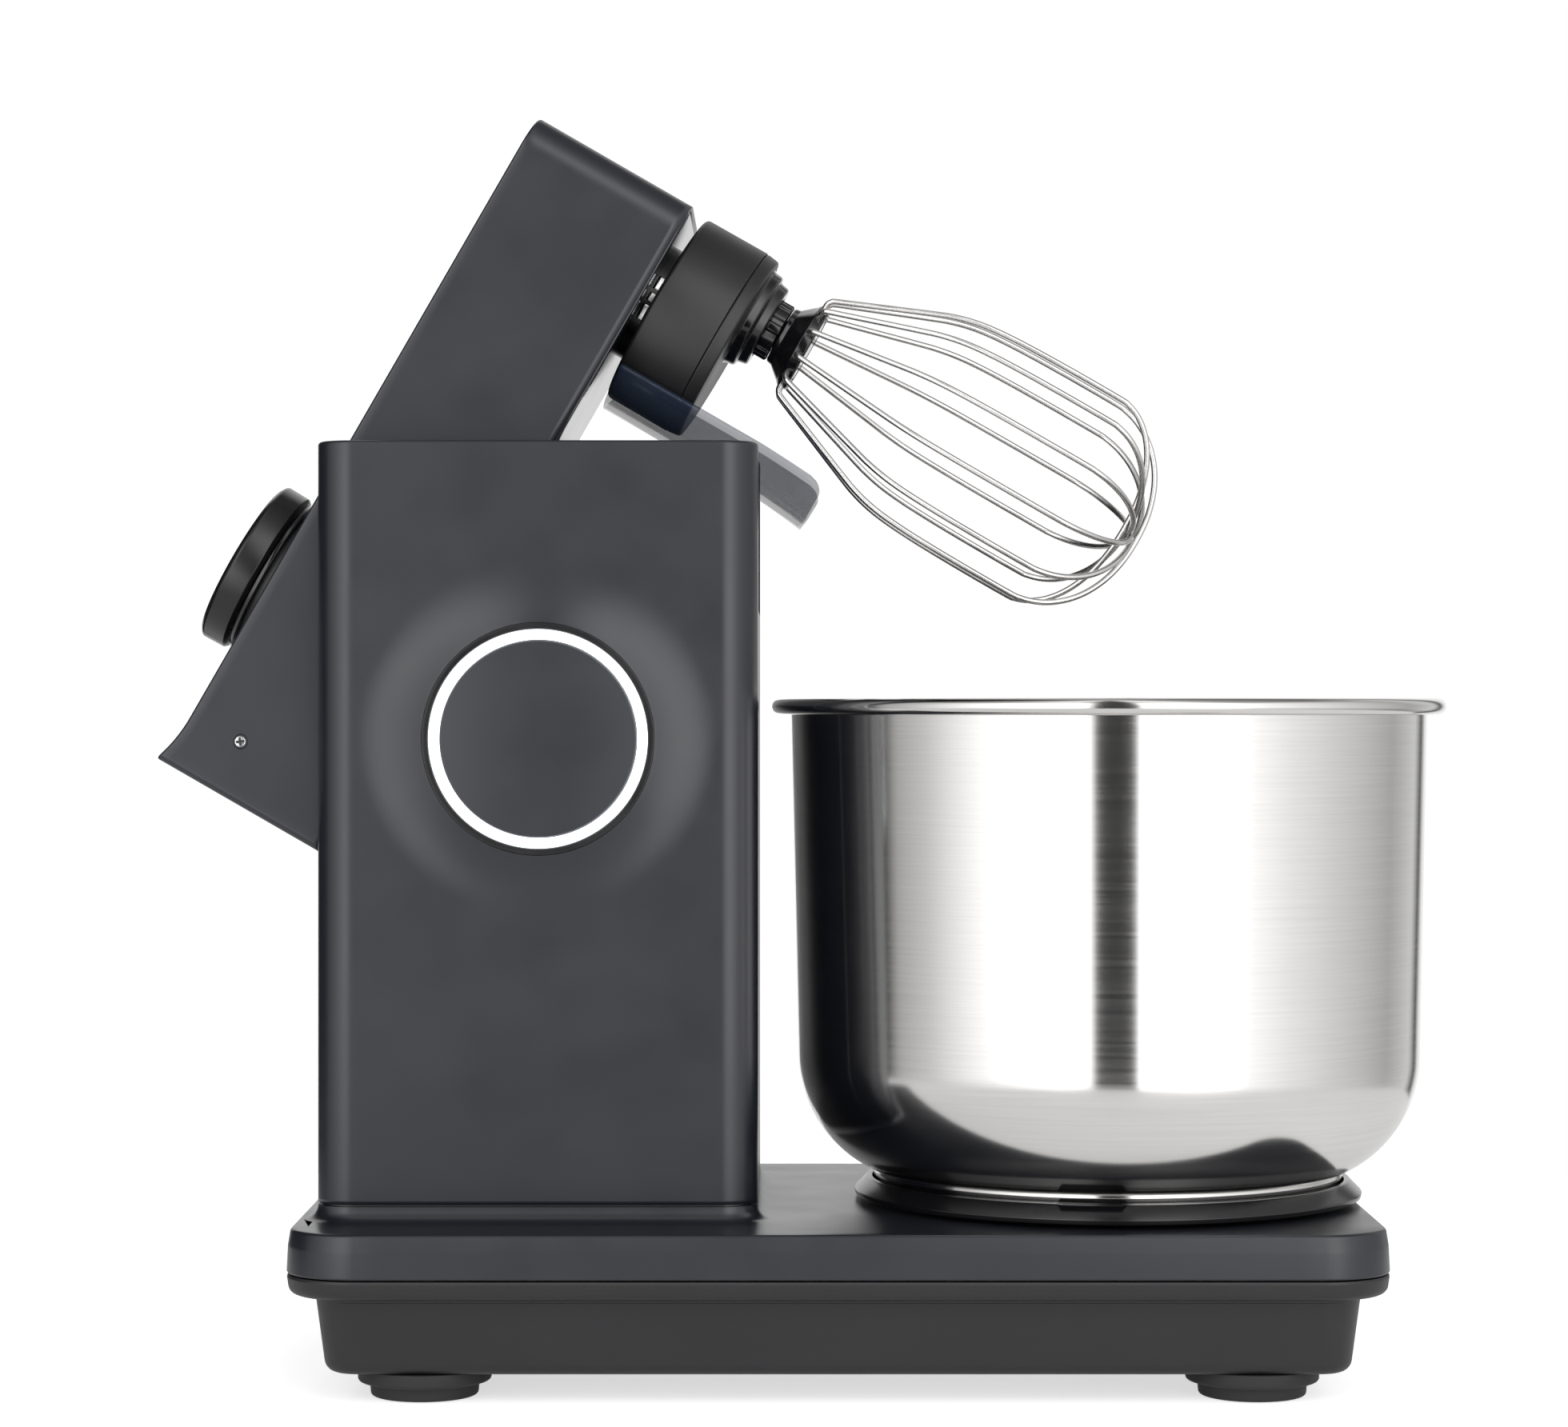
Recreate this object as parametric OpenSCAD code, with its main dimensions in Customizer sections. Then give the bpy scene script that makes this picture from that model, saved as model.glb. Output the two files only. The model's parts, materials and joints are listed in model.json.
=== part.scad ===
// Stand mixer with a tilting head, a planetary whisk and a bowl on a turning seat.
// +X points from the column to the bowl, +Z up. The origin is on the table,
// under the middle of the machine's outline with the head raised.

/* [Whole machine] */
// Angle of the raised head above level
head_tilt = 60; // [50:1:60]
// Height of the hinge axle above the table
pivot_z = 226; // [222:1:230]
// Distance from the hinge axle forward to the bowl's axis
bowl_reach = 201.6; // [200:0.2:206]

/* [Base] */
// Length of the base at its seam
base_length = 377; // [375:1:385]
// Width of the base
base_width = 210; // [205:1:220]
// How far the base reaches behind the hinge axle
base_behind = 85.4; // [84:0.2:88]
// Corner radius of the base seen from above
base_corner = 25; // [20:1:30]
// Height of the base's upper face
base_top_z = 59.4; // [58:0.2:60]
// Height of the seam between the top shell and the tub
seam_z = 44; // [43:0.5:46]
// Height of the underside of the tub's lip
lip_z = 37; // [35:0.5:38]
// Height of the tub's bottom, which the feet stand under
tub_z = 10; // [8:0.5:10]
// How far the tub's wall stands in from the lip
tub_inset = 10; // [9:0.5:12]
// How far the tub tapers in on its way down
tub_taper = 3.4; // [2:0.2:5]
// Wall of the moulded casings
wall = 3; // [2.5:0.5:3]

/* [Feet] */
// Radius of a foot's upper step
foot_r = 23; // [20:1:25]
// Radius of a foot's lower step
foot_tip_r = 18.5; // [16:0.5:19]
// Distance of the feet from the machine's middle plane
foot_y = 68; // [60:1:70]

/* [Column] */
// How far the column reaches behind the hinge axle
column_behind = 77.4; // [77:0.2:80]
// How far the column reaches in front of the hinge axle
column_ahead = 75.6; // [74:0.2:76]
// Width of the column
column_width = 140; // [138:1:144]
// Radius of the column's upright edges
column_corner = 12.5; // [11:0.5:13]
// Height of the column's top
column_top_z = 329; // [326:1:332]
// Height of the seam at the column's foot
column_seam_z = 65; // [64:0.5:66]
// Half the width of the slot that the head swings in
slot_half = 45.3; // [45:0.1:46]

/* [Release button and light] */
// How far the light stands out from the column's side
boss_rise = 5; // [3:0.5:6]
// Radius at which the curve up to the light begins
boss_r = 62.5; // [58:0.5:65]
// Outer radius of the bezel round the light
bezel_r = 39; // [38.5:0.5:40]
// Outer radius of the light ring
light_r = 37.6; // [37:0.1:38]
// Inner radius of the light ring
light_in_r = 34.2; // [34:0.1:35]
// How far the release button travels when it is pressed
button_travel = 3; // [2:0.5:3]

/* [Head] */
// How far the head reaches behind the hinge axle when it is level
head_behind = 74.2; // [73:0.2:75]
// How far the head reaches in front of the hinge axle when it is level
head_ahead = 189; // [188:0.5:190]
// Half the width of the head
head_half = 44; // [43:0.5:44]
// Height of the head's underside above the hinge axle when it is level
head_low = 48.1; // [47:0.1:49]
// Height of the head's top above the hinge axle when it is level
head_high = 111.3; // [110:0.1:112]
// Radius of the head's upright corners
head_corner = 12; // [11:0.5:13]
// How far the tail's lip rises above the head's top
lip_rise = 3.2; // [2:0.1:4]
// Length of the curve that rises to the tail's lip
lip_run = 18; // [15:1:20]

/* [Speed knob] */
// Radius of the knob
knob_r = 31; // [28:0.5:32]
// Height of the knob
knob_h = 11; // [9:0.5:12]
// Gap between the knob and the head
knob_gap = 6.4; // [6:0.2:7]

/* [Gear train] */
// Module of the spur gears in the head
spur_module = 1.5; // [1.5:0.5:1.5]
// Teeth of both pinions
pinion_teeth = 12; // [12:1:12]
// Teeth of the large reduction wheel
reduction_teeth = 48; // [48:1:48]
// Teeth of the output wheel
output_teeth = 36; // [36:1:36]
// Module of the planetary gears
planet_module = 1; // [1:0.5:1]
// Teeth of the fixed internal ring
ring_teeth = 40; // [40:1:40]
// Teeth of the planet gear
planet_teeth = 12; // [12:1:12]

/* [Planetary] */
// Distance of the planetary axis in front of the hinge axle when the head is level
drive_x = 154; // [153:0.5:155]
// Radius of the turning housing
carrier_r = 36.9; // [36:0.1:38]
// Radius of the neck above the turning housing
neck_r = 22.3; // [21:0.1:23]
// Radius of the drive shaft
shaft_r = 6; // [5:0.5:6]
// Half the angle that the splash shield covers
shield_half_angle = 50; // [40:5:60]

/* [Whisk] */
// Radius of the wire cage
cage_r = 42; // [38:0.5:43]
// Thickness of a wire
wire_d = 2.2; // [1.8:0.1:2.4]
// Number of wire loops
wire_loops = 6; // [5:1:6]

/* [Bowl] */
// Radius of the bowl's rolled rim
rim_r = 121.4; // [120:0.2:122]
// Height of the rim's top
rim_z = 240; // [238:0.5:241]
// Outer radius of the bowl under its rim
bowl_r = 114.6; // [113:0.2:115]
// Outer radius of the bowl where its side meets the bottom curve
bowl_low_r = 112; // [110:0.5:113]
// Radius of the bottom curve
bowl_curve = 45.5; // [42:0.5:48]
// Height of the bowl's bottom
bowl_bottom_z = 66.5; // [66:0.5:68]
// Thickness of the bowl's sheet
bowl_wall = 1.2; // [1:0.1:1.5]
// Outer radius of the steel foot ring
bowl_foot_r = 84.7; // [83:0.1:85]
// Largest radius of the seat ring
seat_r = 91.5; // [90:0.5:92]

/* [Hidden] */
$fn = 96;
skin = 0.05;        // running clearance on a radius
gap = 0.3;          // clearance between faces that pass each other
snug = 0.03;        // clearance between pieces pushed together
over = 1;           // how far a cutting solid runs past what it cuts

tail_reach = head_behind * cos(head_tilt) + (head_high + lip_rise) * sin(head_tilt);
pivot_x = (tail_reach - bowl_reach - rim_r) / 2;
bowl_x = pivot_x + bowl_reach;
base_rear = pivot_x - base_behind;
base_front = base_rear + base_length;
base_half = base_width / 2;
column_rear = pivot_x - column_behind;
column_front = pivot_x + column_ahead;
column_half = column_width / 2;
face_y = -column_half - boss_rise;
foot_xs = [base_rear + 46, base_front - 45.5];
chassis_z = 40;
chassis_h = 3;

knob_z = head_high + knob_gap;
orbit = planet_module * (ring_teeth - planet_teeth) / 2;
whisk_x = drive_x + orbit;
reduction_x = drive_x - spur_module * (output_teeth + pinion_teeth) / 2;
motor_x = reduction_x - spur_module * (reduction_teeth + pinion_teeth) / 2;
motor_z = 76;
motor_top = 107;
housing_top = 44.3;
housing_low = 18.8;
lid_low = 13.9;
collar_low = 5.9;
spline_low = 0.9;
hub_low = -11.1;
plug_low = -9;
cage_top = -58.1;
cage_low = -117.1;
cage_tip = -148.1;
axle_r = 7;
bush_r = 10;
arm_half = 30;
arm_r = 15;
planet_bearing_r = orbit - shaft_r - gap;
planet_shaft_r = 4;
bearing_r = 13;
motor_shaft_r = 3;
knob_spindle_r = 3;
spindle_r = 8;
seat_bush_r = 12;
clip_low = 33;
clip_high = 35;
clip_in_r = 6.5;
plug_r = 5.6;
latch_r = 4;
latch_x = 22;
screw_r = 1.55;         // thread of the screws that close a casing
tapped_r = 1.6;
passing_r = 2.2;        // hole that lets a screw pass
foot_screw_r = 1.85;
gland_r = 6;
gland_z = 24;

body_colour = "#34373b";
black_colour = "#1b1c1e";
steel_colour = "#c9cbcd";
zinc_colour = "#9da1a5";

// ---- shared shapes ----

// Rectangle from x0 to x1, as wide as half on each side, with round corners.
module round_rect(x0, x1, half, r) {
    translate([x0 + r, -half]) square([x1 - x0 - 2 * r, 2 * half]);
    translate([x0, -half + r]) square([x1 - x0, 2 * (half - r)]);
    for (x = [x0 + r, x1 - r], y = [r - half, half - r]) translate([x, y]) circle(r);
}

// The same outline as a slab between two heights.
module round_slab(x0, x1, half, r, low, high) {
    translate([0, 0, low]) linear_extrude(high - low) round_rect(x0, x1, half, r);
}

// Upright tube or, with no inner radius, a rod.
module tube(r, inner, low, high) {
    translate([0, 0, low]) difference() {
        cylinder(r = r, h = high - low);
        if (inner > 0) translate([0, 0, -over]) cylinder(r = inner, h = high - low + 2 * over);
    }
}

// Tube along +Y between two places.
module tube_y(r, inner, from, to) {
    rotate([-90, 0, 0]) tube(r, inner, from, to);
}

// A side profile in X and Z, given thickness across Y.
module across(from, to) {
    translate([0, to, 0]) rotate([90, 0, 0]) linear_extrude(to - from) children();
}

// Places a piece of the head, drawn level with the hinge axle at its origin.
module on_head() {
    translate([pivot_x, 0, pivot_z]) rotate([0, -head_tilt, 0]) children();
}

module at_pivot() {
    translate([pivot_x, 0, pivot_z]) children();
}

module at_latch() {
    at_pivot() translate([latch_x, 0, 0]) children();
}

// Involute of an angle, in degrees.
function inv(a) = tan(a) * 180 / PI - a;

// Half the angle of a tooth's thickness at radius r; slack is its share taken for backlash.
function half_tooth(teeth, m, r, slack) =
    let (base = m * teeth / 2 * cos(20))
    90 / teeth * (1 - slack) + inv(20) - (r > base ? inv(acos(base / r)) : 0);

// Outline of a spur gear with a tooth on +X: root, flank, tip, flank of every tooth.
function gear_points(teeth, m, add, ded, slack) = [
    for (i = [0:teeth - 1]) let (
        root = m * teeth / 2 - ded * m,
        tip = m * teeth / 2 + add * m,
        steps = [0, 0.25, 0.5, 0.75, 1],
        up = [for (s = steps) let (r = root + s * (tip - root)) [r, half_tooth(teeth, m, r, slack)]],
        mid = 360 * i / teeth
    ) each concat(
        [for (p = up) [p[0] * cos(mid - p[1]), p[0] * sin(mid - p[1])]],
        [for (k = [len(up) - 1:-1:0]) let (p = up[k]) [p[0] * cos(mid + p[1]), p[0] * sin(mid + p[1])]]
    )
];

module spur(teeth, m, low, high) {
    translate([0, 0, low]) linear_extrude(high - low)
        polygon(gear_points(teeth, m, 0.8, 1.15, 0.12));
}

// ---- base ----

module base_outline(inset, low, high) {
    round_slab(base_rear + inset, base_front - inset, base_half - inset, base_corner - inset, low, high);
}

boss_xs = [base_rear + 82, base_rear + 190, base_front - 82];
boss_y = 82;
gland_x = base_rear + 46;
flare = 4;
head_sink = 6;          // depth at which the closing screws' heads sit in the tub

module boss_places() {
    for (x = boss_xs, y = [-boss_y, boss_y]) translate([x, y, 0]) children();
}

module base_top() {
    color(body_colour) difference() {
        union() {
            difference() {
                base_outline(0, seam_z, base_top_z);
                base_outline(wall, seam_z - over, base_top_z - wall);
            }
            round_slab(column_rear - flare, column_front + flare, column_half + flare, column_corner + flare,
                base_top_z - wall, base_top_z + flare / 2);
            round_slab(column_rear, column_front, column_half, column_corner,
                base_top_z, column_seam_z);
            boss_places() tube(5, 0, seam_z, base_top_z - wall);
            translate([bowl_x, 0, 0]) tube(seat_bush_r + 6, 0, seam_z, base_top_z - wall);
        }
        round_slab(column_rear + 12, column_front - 12, column_half - 12, column_corner,
            seam_z - over, column_seam_z + over);
        boss_places() tube(tapped_r, 0, seam_z - over, base_top_z - wall - 1);
        translate([bowl_x, 0, 0]) tube(seat_bush_r, 0, seam_z - over, base_top_z + over);
    }
}

// Tapered body of the tub, drawn in from its outer face by inset.
module tub_body(inset, low, high) {
    hull() {
        round_slab(base_rear + tub_inset + inset, base_front - tub_inset - inset,
            base_half - tub_inset - inset, base_corner - tub_inset / 2, high - 0.1, high, $fn = 32);
        round_slab(base_rear + tub_inset + tub_taper + inset, base_front - tub_inset - tub_taper - inset,
            base_half - tub_inset - tub_taper - inset, base_corner - tub_inset / 2, low, low + 0.1,
            $fn = 32);
    }
}

module foot_places() {
    for (x = foot_xs, y = [-foot_y, foot_y]) translate([x, y, 0]) children();
}

module base_tub() {
    color(black_colour) difference() {
        union() {
            difference() {
                union() {
                    base_outline(0, lip_z, seam_z);
                    tub_body(0, tub_z, lip_z + 0.1);
                }
                tub_body(wall, tub_z + wall, lip_z + 0.2);
                base_outline(wall + tub_inset - 1, lip_z - over, seam_z + over);
            }
            boss_places() tube(7, 0, tub_z + 1, chassis_z);
            foot_places() tube(9, 0, tub_z + 1, 20);
        }
        boss_places() tube(passing_r, 0, tub_z - over, seam_z);
        boss_places() tube(4.2, 0, tub_z - over, tub_z + head_sink);
        foot_places() tube(foot_screw_r + skin, 0, tub_z - over, 19);
        translate([gland_x, base_half - tub_inset, gland_z]) tube_y(gland_r + skin, 0, -10, 10);
    }
}

foot_seat_z = 4.5;

module rubber_feet() {
    color("#111213") foot_places() difference() {
        union() {
            tube(foot_tip_r, 0, 0, tub_z / 2);
            tube(foot_r, 0, tub_z / 2, tub_z);
        }
        tube(passing_r, 0, -over, tub_z + over);
        tube(5, 0, -over, foot_seat_z);
    }
}

module foot_screws() {
    color(zinc_colour) foot_places() {
        tube(foot_screw_r, 0, foot_seat_z, 18);
        tube(4, 0, foot_seat_z - 2.3, foot_seat_z);
    }
}

module base_screws() {
    color(zinc_colour) boss_places() {
        tube(screw_r, 0, tub_z + head_sink, base_top_z - wall - 2);
        tube(3.6, 0, tub_z + head_sink / 2, tub_z + head_sink);
    }
}

module chassis_plate() {
    color(zinc_colour) difference() {
        base_outline(14, chassis_z, chassis_z + chassis_h);
        boss_places() tube(passing_r, 0, 0, base_top_z);
        translate([bowl_x, 0, 0]) tube(seat_bush_r, 0, 0, base_top_z);
        translate([pivot_x - 40, 0, 0]) tube(16, 0, 0, base_top_z);
    }
}

// ---- bowl seat ----

seat_floor = base_top_z + 3.4;
seat_rim = base_top_z + 8;

module seat_bearing() {
    color("#b08d57") translate([bowl_x, 0, 0]) difference() {
        tube(seat_bush_r, spindle_r + skin, seam_z - 0.5, base_top_z);
        tube(seat_bush_r - 1, spindle_r + 1, seam_z - over, seam_z + 1);
    }
}

module seat_ring() {
    color(black_colour) translate([bowl_x, 0, 0]) difference() {
        rotate_extrude() polygon([
            [spindle_r + snug, base_top_z + 1], [seat_r - 2.5, base_top_z + 1], [seat_r, base_top_z + 1.9],
            [seat_r, base_top_z + 3], [seat_r - 4.5, seat_rim], [bowl_foot_r + gap, seat_rim],
            [bowl_foot_r + gap, seat_floor], [spindle_r + snug, seat_floor]
        ]);
        for (a = [35:120:275]) rotate(a) translate([bowl_foot_r, 0, seat_rim - 1])
            cube([8, 24, 4], center = true);
    }
}

module seat_spindle() {
    color(steel_colour) translate([bowl_x, 0, 0]) difference() {
        tube(spindle_r, 0, 30, seat_floor);
        tube(spindle_r + over, clip_in_r, clip_low, clip_high);
    }
}

module seat_clip() {
    color(steel_colour) translate([bowl_x, 0, 0]) difference() {
        tube(spindle_r + 3, clip_in_r, clip_low + 0.1, clip_high - 0.1);
        translate([0, -3, 30]) cube([20, 6, 10]);
    }
}

// ---- column ----

// Side profile of the slot that the head swings through, from the hinge axle.
slot_side = [
    [-column_behind - over, -48], [-50, -48], [-26, -25], [26, -25], [column_ahead + over, 46],
    [column_ahead + over, column_top_z - pivot_z + over],
    [-column_behind - over, column_top_z - pivot_z + over]
];

module column_block(inset, low, high) {
    round_slab(column_rear + inset, column_front - inset, column_half - inset,
        column_corner - inset, low, high);
}

// The side curves out to the light along a parabola.
module light_boss() {
    steps = 6;
    rotate([90, 0, 0]) rotate_extrude() polygon(concat(
        [[bezel_r - 0.5, column_half - 1], [boss_r, column_half - 1]],
        [for (k = [0:steps]) let (s = k / steps)
            [boss_r - s * (boss_r - bezel_r - 0.5), column_half + boss_rise * s * s]],
        [[bezel_r - 0.5, column_half + boss_rise]]
    ));
}

module column_shell() {
    color(body_colour) difference() {
        union() {
            difference() {
                column_block(0, column_seam_z, column_top_z);
                column_block(wall, column_seam_z - over, column_top_z - wall);
            }
            at_pivot() light_boss();
        }
        at_pivot() across(-slot_half, slot_half) polygon(slot_side);
        at_pivot() tube_y(bezel_r, 0, face_y - over, -column_half + wall + over);
    }
}

// The liner's outer shape follows the slot a wall's thickness outside it.
module slot_liner() {
    liner_wall = 2.5;
    liner_half = slot_half + liner_wall;
    color(black_colour) difference() {
        at_pivot() across(-liner_half, liner_half) polygon([
            [-column_behind + wall, -48 - liner_wall], [-49, -48 - liner_wall], [-25, -25 - liner_wall],
            [27, -25 - liner_wall], [column_ahead - wall, 42.6],
            [column_ahead - wall, column_top_z - wall - pivot_z],
            [-column_behind + wall, column_top_z - wall - pivot_z]
        ]);
        at_pivot() across(-slot_half, slot_half) polygon(slot_side);
        at_pivot() tube_y(axle_r + snug, 0, -column_half, column_half);
        at_latch() tube_y(latch_r + gap, 0, -column_half, 0);
    }
}

plate_from = slot_half + 2.5;
plate_h = 4;

module hinge_plates() {
    color(zinc_colour) for (side = [-1, 1]) difference() {
        at_pivot() translate([0, side * (plate_from + plate_h / 2), 0]) difference() {
            across(-plate_h / 2, plate_h / 2) union() {
                translate([-45, -60]) square([90, 70]);
                circle(24);
            }
            tube_y(axle_r + snug, 0, -plate_h, plate_h);
            for (x = [-35, 35], z = [-50, -10]) translate([x, 0, z])
                tube_y(passing_r, 0, -plate_h, plate_h);
        }
        at_latch() tube_y(latch_r + gap, 0, -column_half, 0);
    }
}

module hinge_axle() {
    color(steel_colour) at_pivot() tube_y(axle_r, 0, -plate_from - 5, plate_from + 5);
}

// Coil of the counterbalance spring, wound round the axle beside the hinge arm.
module counter_spring() {
    wire = 1.4;
    color(steel_colour) at_pivot() for (side = [-1, 1], turn = [0:2])
        translate([0, side * (arm_half + 4.2 + turn * (2 * wire + 0.4)), 0]) rotate([90, 0, 0])
            rotate_extrude() translate([12, 0]) circle(wire, $fn = 24);
}

module ring_bezel() {
    color(black_colour) at_pivot() tube_y(bezel_r, light_r, face_y, face_y + 5);
}

module light_ring() {
    color("white") at_pivot() tube_y(light_r, light_in_r, face_y + 0.2, face_y + 4);
}

module lamp_board() {
    color("#2f6b45") at_pivot() {
        tube_y(bezel_r, light_in_r + 2 * snug + gap, face_y + 5, face_y + 6.6);
        for (a = [0:30:330]) rotate([0, a, 0]) translate([(light_r + light_in_r) / 2, 0, 0])
            translate([-1.3, face_y + 4, -1.3]) cube([2.6, 1, 2.6]);
    }
}

guide_from = face_y + 10;
button_back = face_y + 3.6;
stem_r = 6;

module button_guide() {
    color(zinc_colour) at_pivot() difference() {
        union() {
            tube_y(bezel_r, stem_r + skin, guide_from, guide_from + 2);
            tube_y(bezel_r, 36, face_y + 6.6, guide_from);
        }
        translate([latch_x, 0, 0]) tube_y(latch_r + skin, 0, face_y, 0);
    }
}

module button_spring() {
    color(steel_colour) at_pivot() for (turn = [0:1])
        translate([0, guide_from - 0.6 - turn * 1.2, 0]) rotate([90, 0, 0])
            rotate_extrude() translate([8, 0]) circle(0.55, $fn = 24);
}

module release_button() {
    color(body_colour) at_pivot() {
        tube_y(light_in_r - 0.2, 0, face_y + 0.6, button_back);
        tube_y(stem_r, 0, button_back, guide_from + 4);
    }
}

module latch_pin() {
    color(steel_colour) at_latch()
        tube_y(latch_r, 0, button_back, -arm_half - button_travel - 2);
}

module control_board() {
    board_y = 40;
    board_h = 1.6;
    color("#2f6b45") translate([pivot_x, board_y, 0]) {
        translate([-50, 0, 72]) cube([100, board_h, 80]);
        translate([-30, board_h, 90]) cube([30, 18, 40]);
        translate([12, board_h, 84]) cube([24, 12, 24]);
    }
}

module cord_gland() {
    color(black_colour) translate([gland_x, base_half - tub_inset, gland_z]) difference() {
        union() {
            tube_y(gland_r, 0, -9, 0);
            tube_y(gland_r + 3, 0, -0.6, 3);
            tube_y(gland_r + 3, 0, -9, -6.5);
        }
        tube_y(3.6, 0, -10, 4);
    }
}

// ---- head: every piece is drawn level, from the hinge axle ----

// Side profile of the head between two heights, with the tail's lip when it reaches the top.
module head_side(low, high, rise) {
    polygon(concat(
        [[-head_behind, low], [head_ahead, low], [head_ahead, high]],
        [for (k = [0:8]) let (s = k / 8) [-head_behind + lip_run * (1 - s), high + rise * s * s]]
    ));
}

module head_block(inset, low, high, rise) {
    intersection() {
        across(-head_half + inset, head_half - inset) head_side(low, high, rise);
        round_slab(-head_behind + inset, head_ahead - inset, head_half - inset, head_corner - inset,
            low, high + rise);
    }
}

module screw_places() {
    for (side = [-1, 1]) translate([-head_behind + 19.9, side * head_half, 91.6]) children();
}

shell = 2.5;
knob_bore_r = 4.5;

module head_shell() {
    color(body_colour) on_head() difference() {
        head_block(0, head_low + shell, head_high, lip_rise);
        head_block(shell, head_low, head_high - shell, 0);
        tube(knob_bore_r, 0, head_high - 2 * shell, head_high + over);
        screw_places() tube_y(tapped_r, 0, -4, 4);
        screw_places() tube_y(3, 0, -1.2, 1.2);
    }
}

module head_underside() {
    color(black_colour) on_head() difference() {
        head_block(0, head_low, head_low + shell, 0);
        translate([-arm_r, -arm_half, head_low - over]) cube([2 * arm_r, 2 * arm_half, 5]);
        translate([drive_x, 0, 0]) tube(neck_r + skin, 0, head_low - over, head_low + 4);
    }
}

module head_screws() {
    color(black_colour) on_head() screw_places() {
        tube_y(2.9, 0, -0.9, 0.4);
        tube_y(1.5, 0, -1, 1);
    }
}

module hinge_arm() {
    color(zinc_colour) on_head() difference() {
        union() {
            tube_y(arm_r, 0, -arm_half, arm_half);
            translate([-arm_r, -arm_half, 0]) cube([2 * arm_r, 2 * arm_half, head_low + 3]);
            translate([-34, -36, head_low + shell]) cube([68, 72, 3.5]);
        }
        tube_y(bush_r, 0, -arm_half - over, arm_half + over);
    }
}

module hinge_bushes() {
    color("#b08d57") on_head() for (side = [-1, 1]) {
        translate([0, side * (arm_half - 5), 0]) tube_y(bush_r, axle_r + skin, -5, 5);
        translate([0, side * (arm_half + 0.75), 0]) tube_y(13, axle_r + skin, -0.75, 0.75);
    }
}

plinth_top = head_high + 4.2;

module knob_plinth() {
    color(black_colour) on_head() tube(27, knob_bore_r, head_high, plinth_top);
}

module knob_ring() {
    color(steel_colour) on_head() tube(29.5, 24, plinth_top, knob_z - gap);
}

module knob() {
    color(black_colour) on_head() difference() {
        tube(knob_r, 0, knob_z, knob_z + knob_h);
        tube(knob_spindle_r, 0, knob_z - over, knob_z + 7);
    }
}

control_low = 94;

module knob_spindle() {
    color(steel_colour) on_head() tube(knob_spindle_r, 0, control_low + 2, knob_z + 7);
}

module knob_control() {
    color("#24406b") on_head() difference() {
        union() {
            translate([-12, -12, control_low]) cube([24, 24, head_high - shell - control_low]);
            tube(knob_bore_r - 0.1, 0, head_high - 3, head_high + 4);
        }
        tube(knob_spindle_r + skin, 0, control_low + 2, head_high + 5);
    }
}

module motor_can() {
    color(zinc_colour) on_head() translate([motor_x, 0, 0]) difference() {
        tube(33, 0, motor_z, motor_top);
        tube(30.5, 0, motor_z + 2.5, motor_top - 2.5);
        tube(motor_shaft_r + skin, 0, motor_z - over, motor_top + over);
    }
}

module motor_rotor() {
    color(steel_colour) on_head() translate([motor_x, 0, 0]) {
        tube(motor_shaft_r, 0, 63, motor_top + 0.5);
        tube(29, motor_shaft_r, motor_z + 5, motor_top - 5);
    }
}

module motor_pinion() {
    color(steel_colour) on_head() translate([motor_x, 0, 0]) difference() {
        rotate(180 / pinion_teeth) spur(pinion_teeth, spur_module, 64, 73);
        tube(motor_shaft_r, 0, 60, 80);
    }
}

gear_pin_r = 3;

module gear_plate() {
    color(zinc_colour) on_head() {
        difference() {
            translate([70, -38, head_low + shell]) cube([114, 76, 3]);
            translate([drive_x, 0, 0]) tube(neck_r + skin, 0, head_low, 60);
        }
        translate([reduction_x, 0, 0]) tube(gear_pin_r, 0, head_low + 5, 74);
        for (y = [-39, 36]) translate([motor_x - 20, y, head_low + 5.5]) cube([40, 3, 48]);
    }
}

module reduction_gear() {
    color("#d8d2bd") on_head() translate([reduction_x, 0, 0]) difference() {
        union() {
            rotate(180 / pinion_teeth) spur(pinion_teeth, spur_module, 54.6, 65.1);
            spur(reduction_teeth, spur_module, 65, 71);
        }
        tube(gear_pin_r + skin, 0, 50, 80);
    }
}

module output_wheel() {
    color(steel_colour) on_head() translate([drive_x, 0, 0]) difference() {
        spur(output_teeth, spur_module, 55.2, 62.5);
        tube(shaft_r + snug, 0, 50, 70);
    }
}

module drive_shaft() {
    color(steel_colour) on_head() translate([drive_x, 0, 0]) tube(shaft_r, 0, housing_low, 63.6);
}

module upper_bearing() {
    color(steel_colour) on_head() translate([drive_x, 0, 0]) tube(bearing_r, shaft_r + skin, 45, 53);
}

module lower_bearing() {
    color(steel_colour) on_head() translate([drive_x, 0, 0]) tube(bearing_r, shaft_r + skin, 34, 42);
}

ring_out_r = 26;
ring_top = 32;

module neck() {
    color(zinc_colour) on_head() translate([drive_x, 0, 0]) difference() {
        union() {
            tube(neck_r, 0, ring_top + 1, 54);
            tube(ring_out_r, 0, ring_top, ring_top + 2.5);
        }
        tube(bearing_r, 0, ring_top - over, 55);
    }
}

module ring_gear() {
    color(zinc_colour) on_head() translate([drive_x, 0, 0]) difference() {
        tube(ring_out_r, 0, 23, ring_top);
        translate([0, 0, 20]) linear_extrude(20)
            polygon(gear_points(ring_teeth, planet_module, 1.15, 0.75, -0.1));
    }
}

// ---- planetary ----

module carrier_housing() {
    color(black_colour) on_head() translate([drive_x, 0, 0]) difference() {
        tube(carrier_r, neck_r + 0.4, housing_low, housing_top);
        tube(carrier_r - wall, 0, housing_low - over, housing_top - wall);
    }
}

module lid_screw_places() {
    for (a = [90, 180, 270]) rotate(a) translate([28, 0, 0]) children();
}

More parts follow.
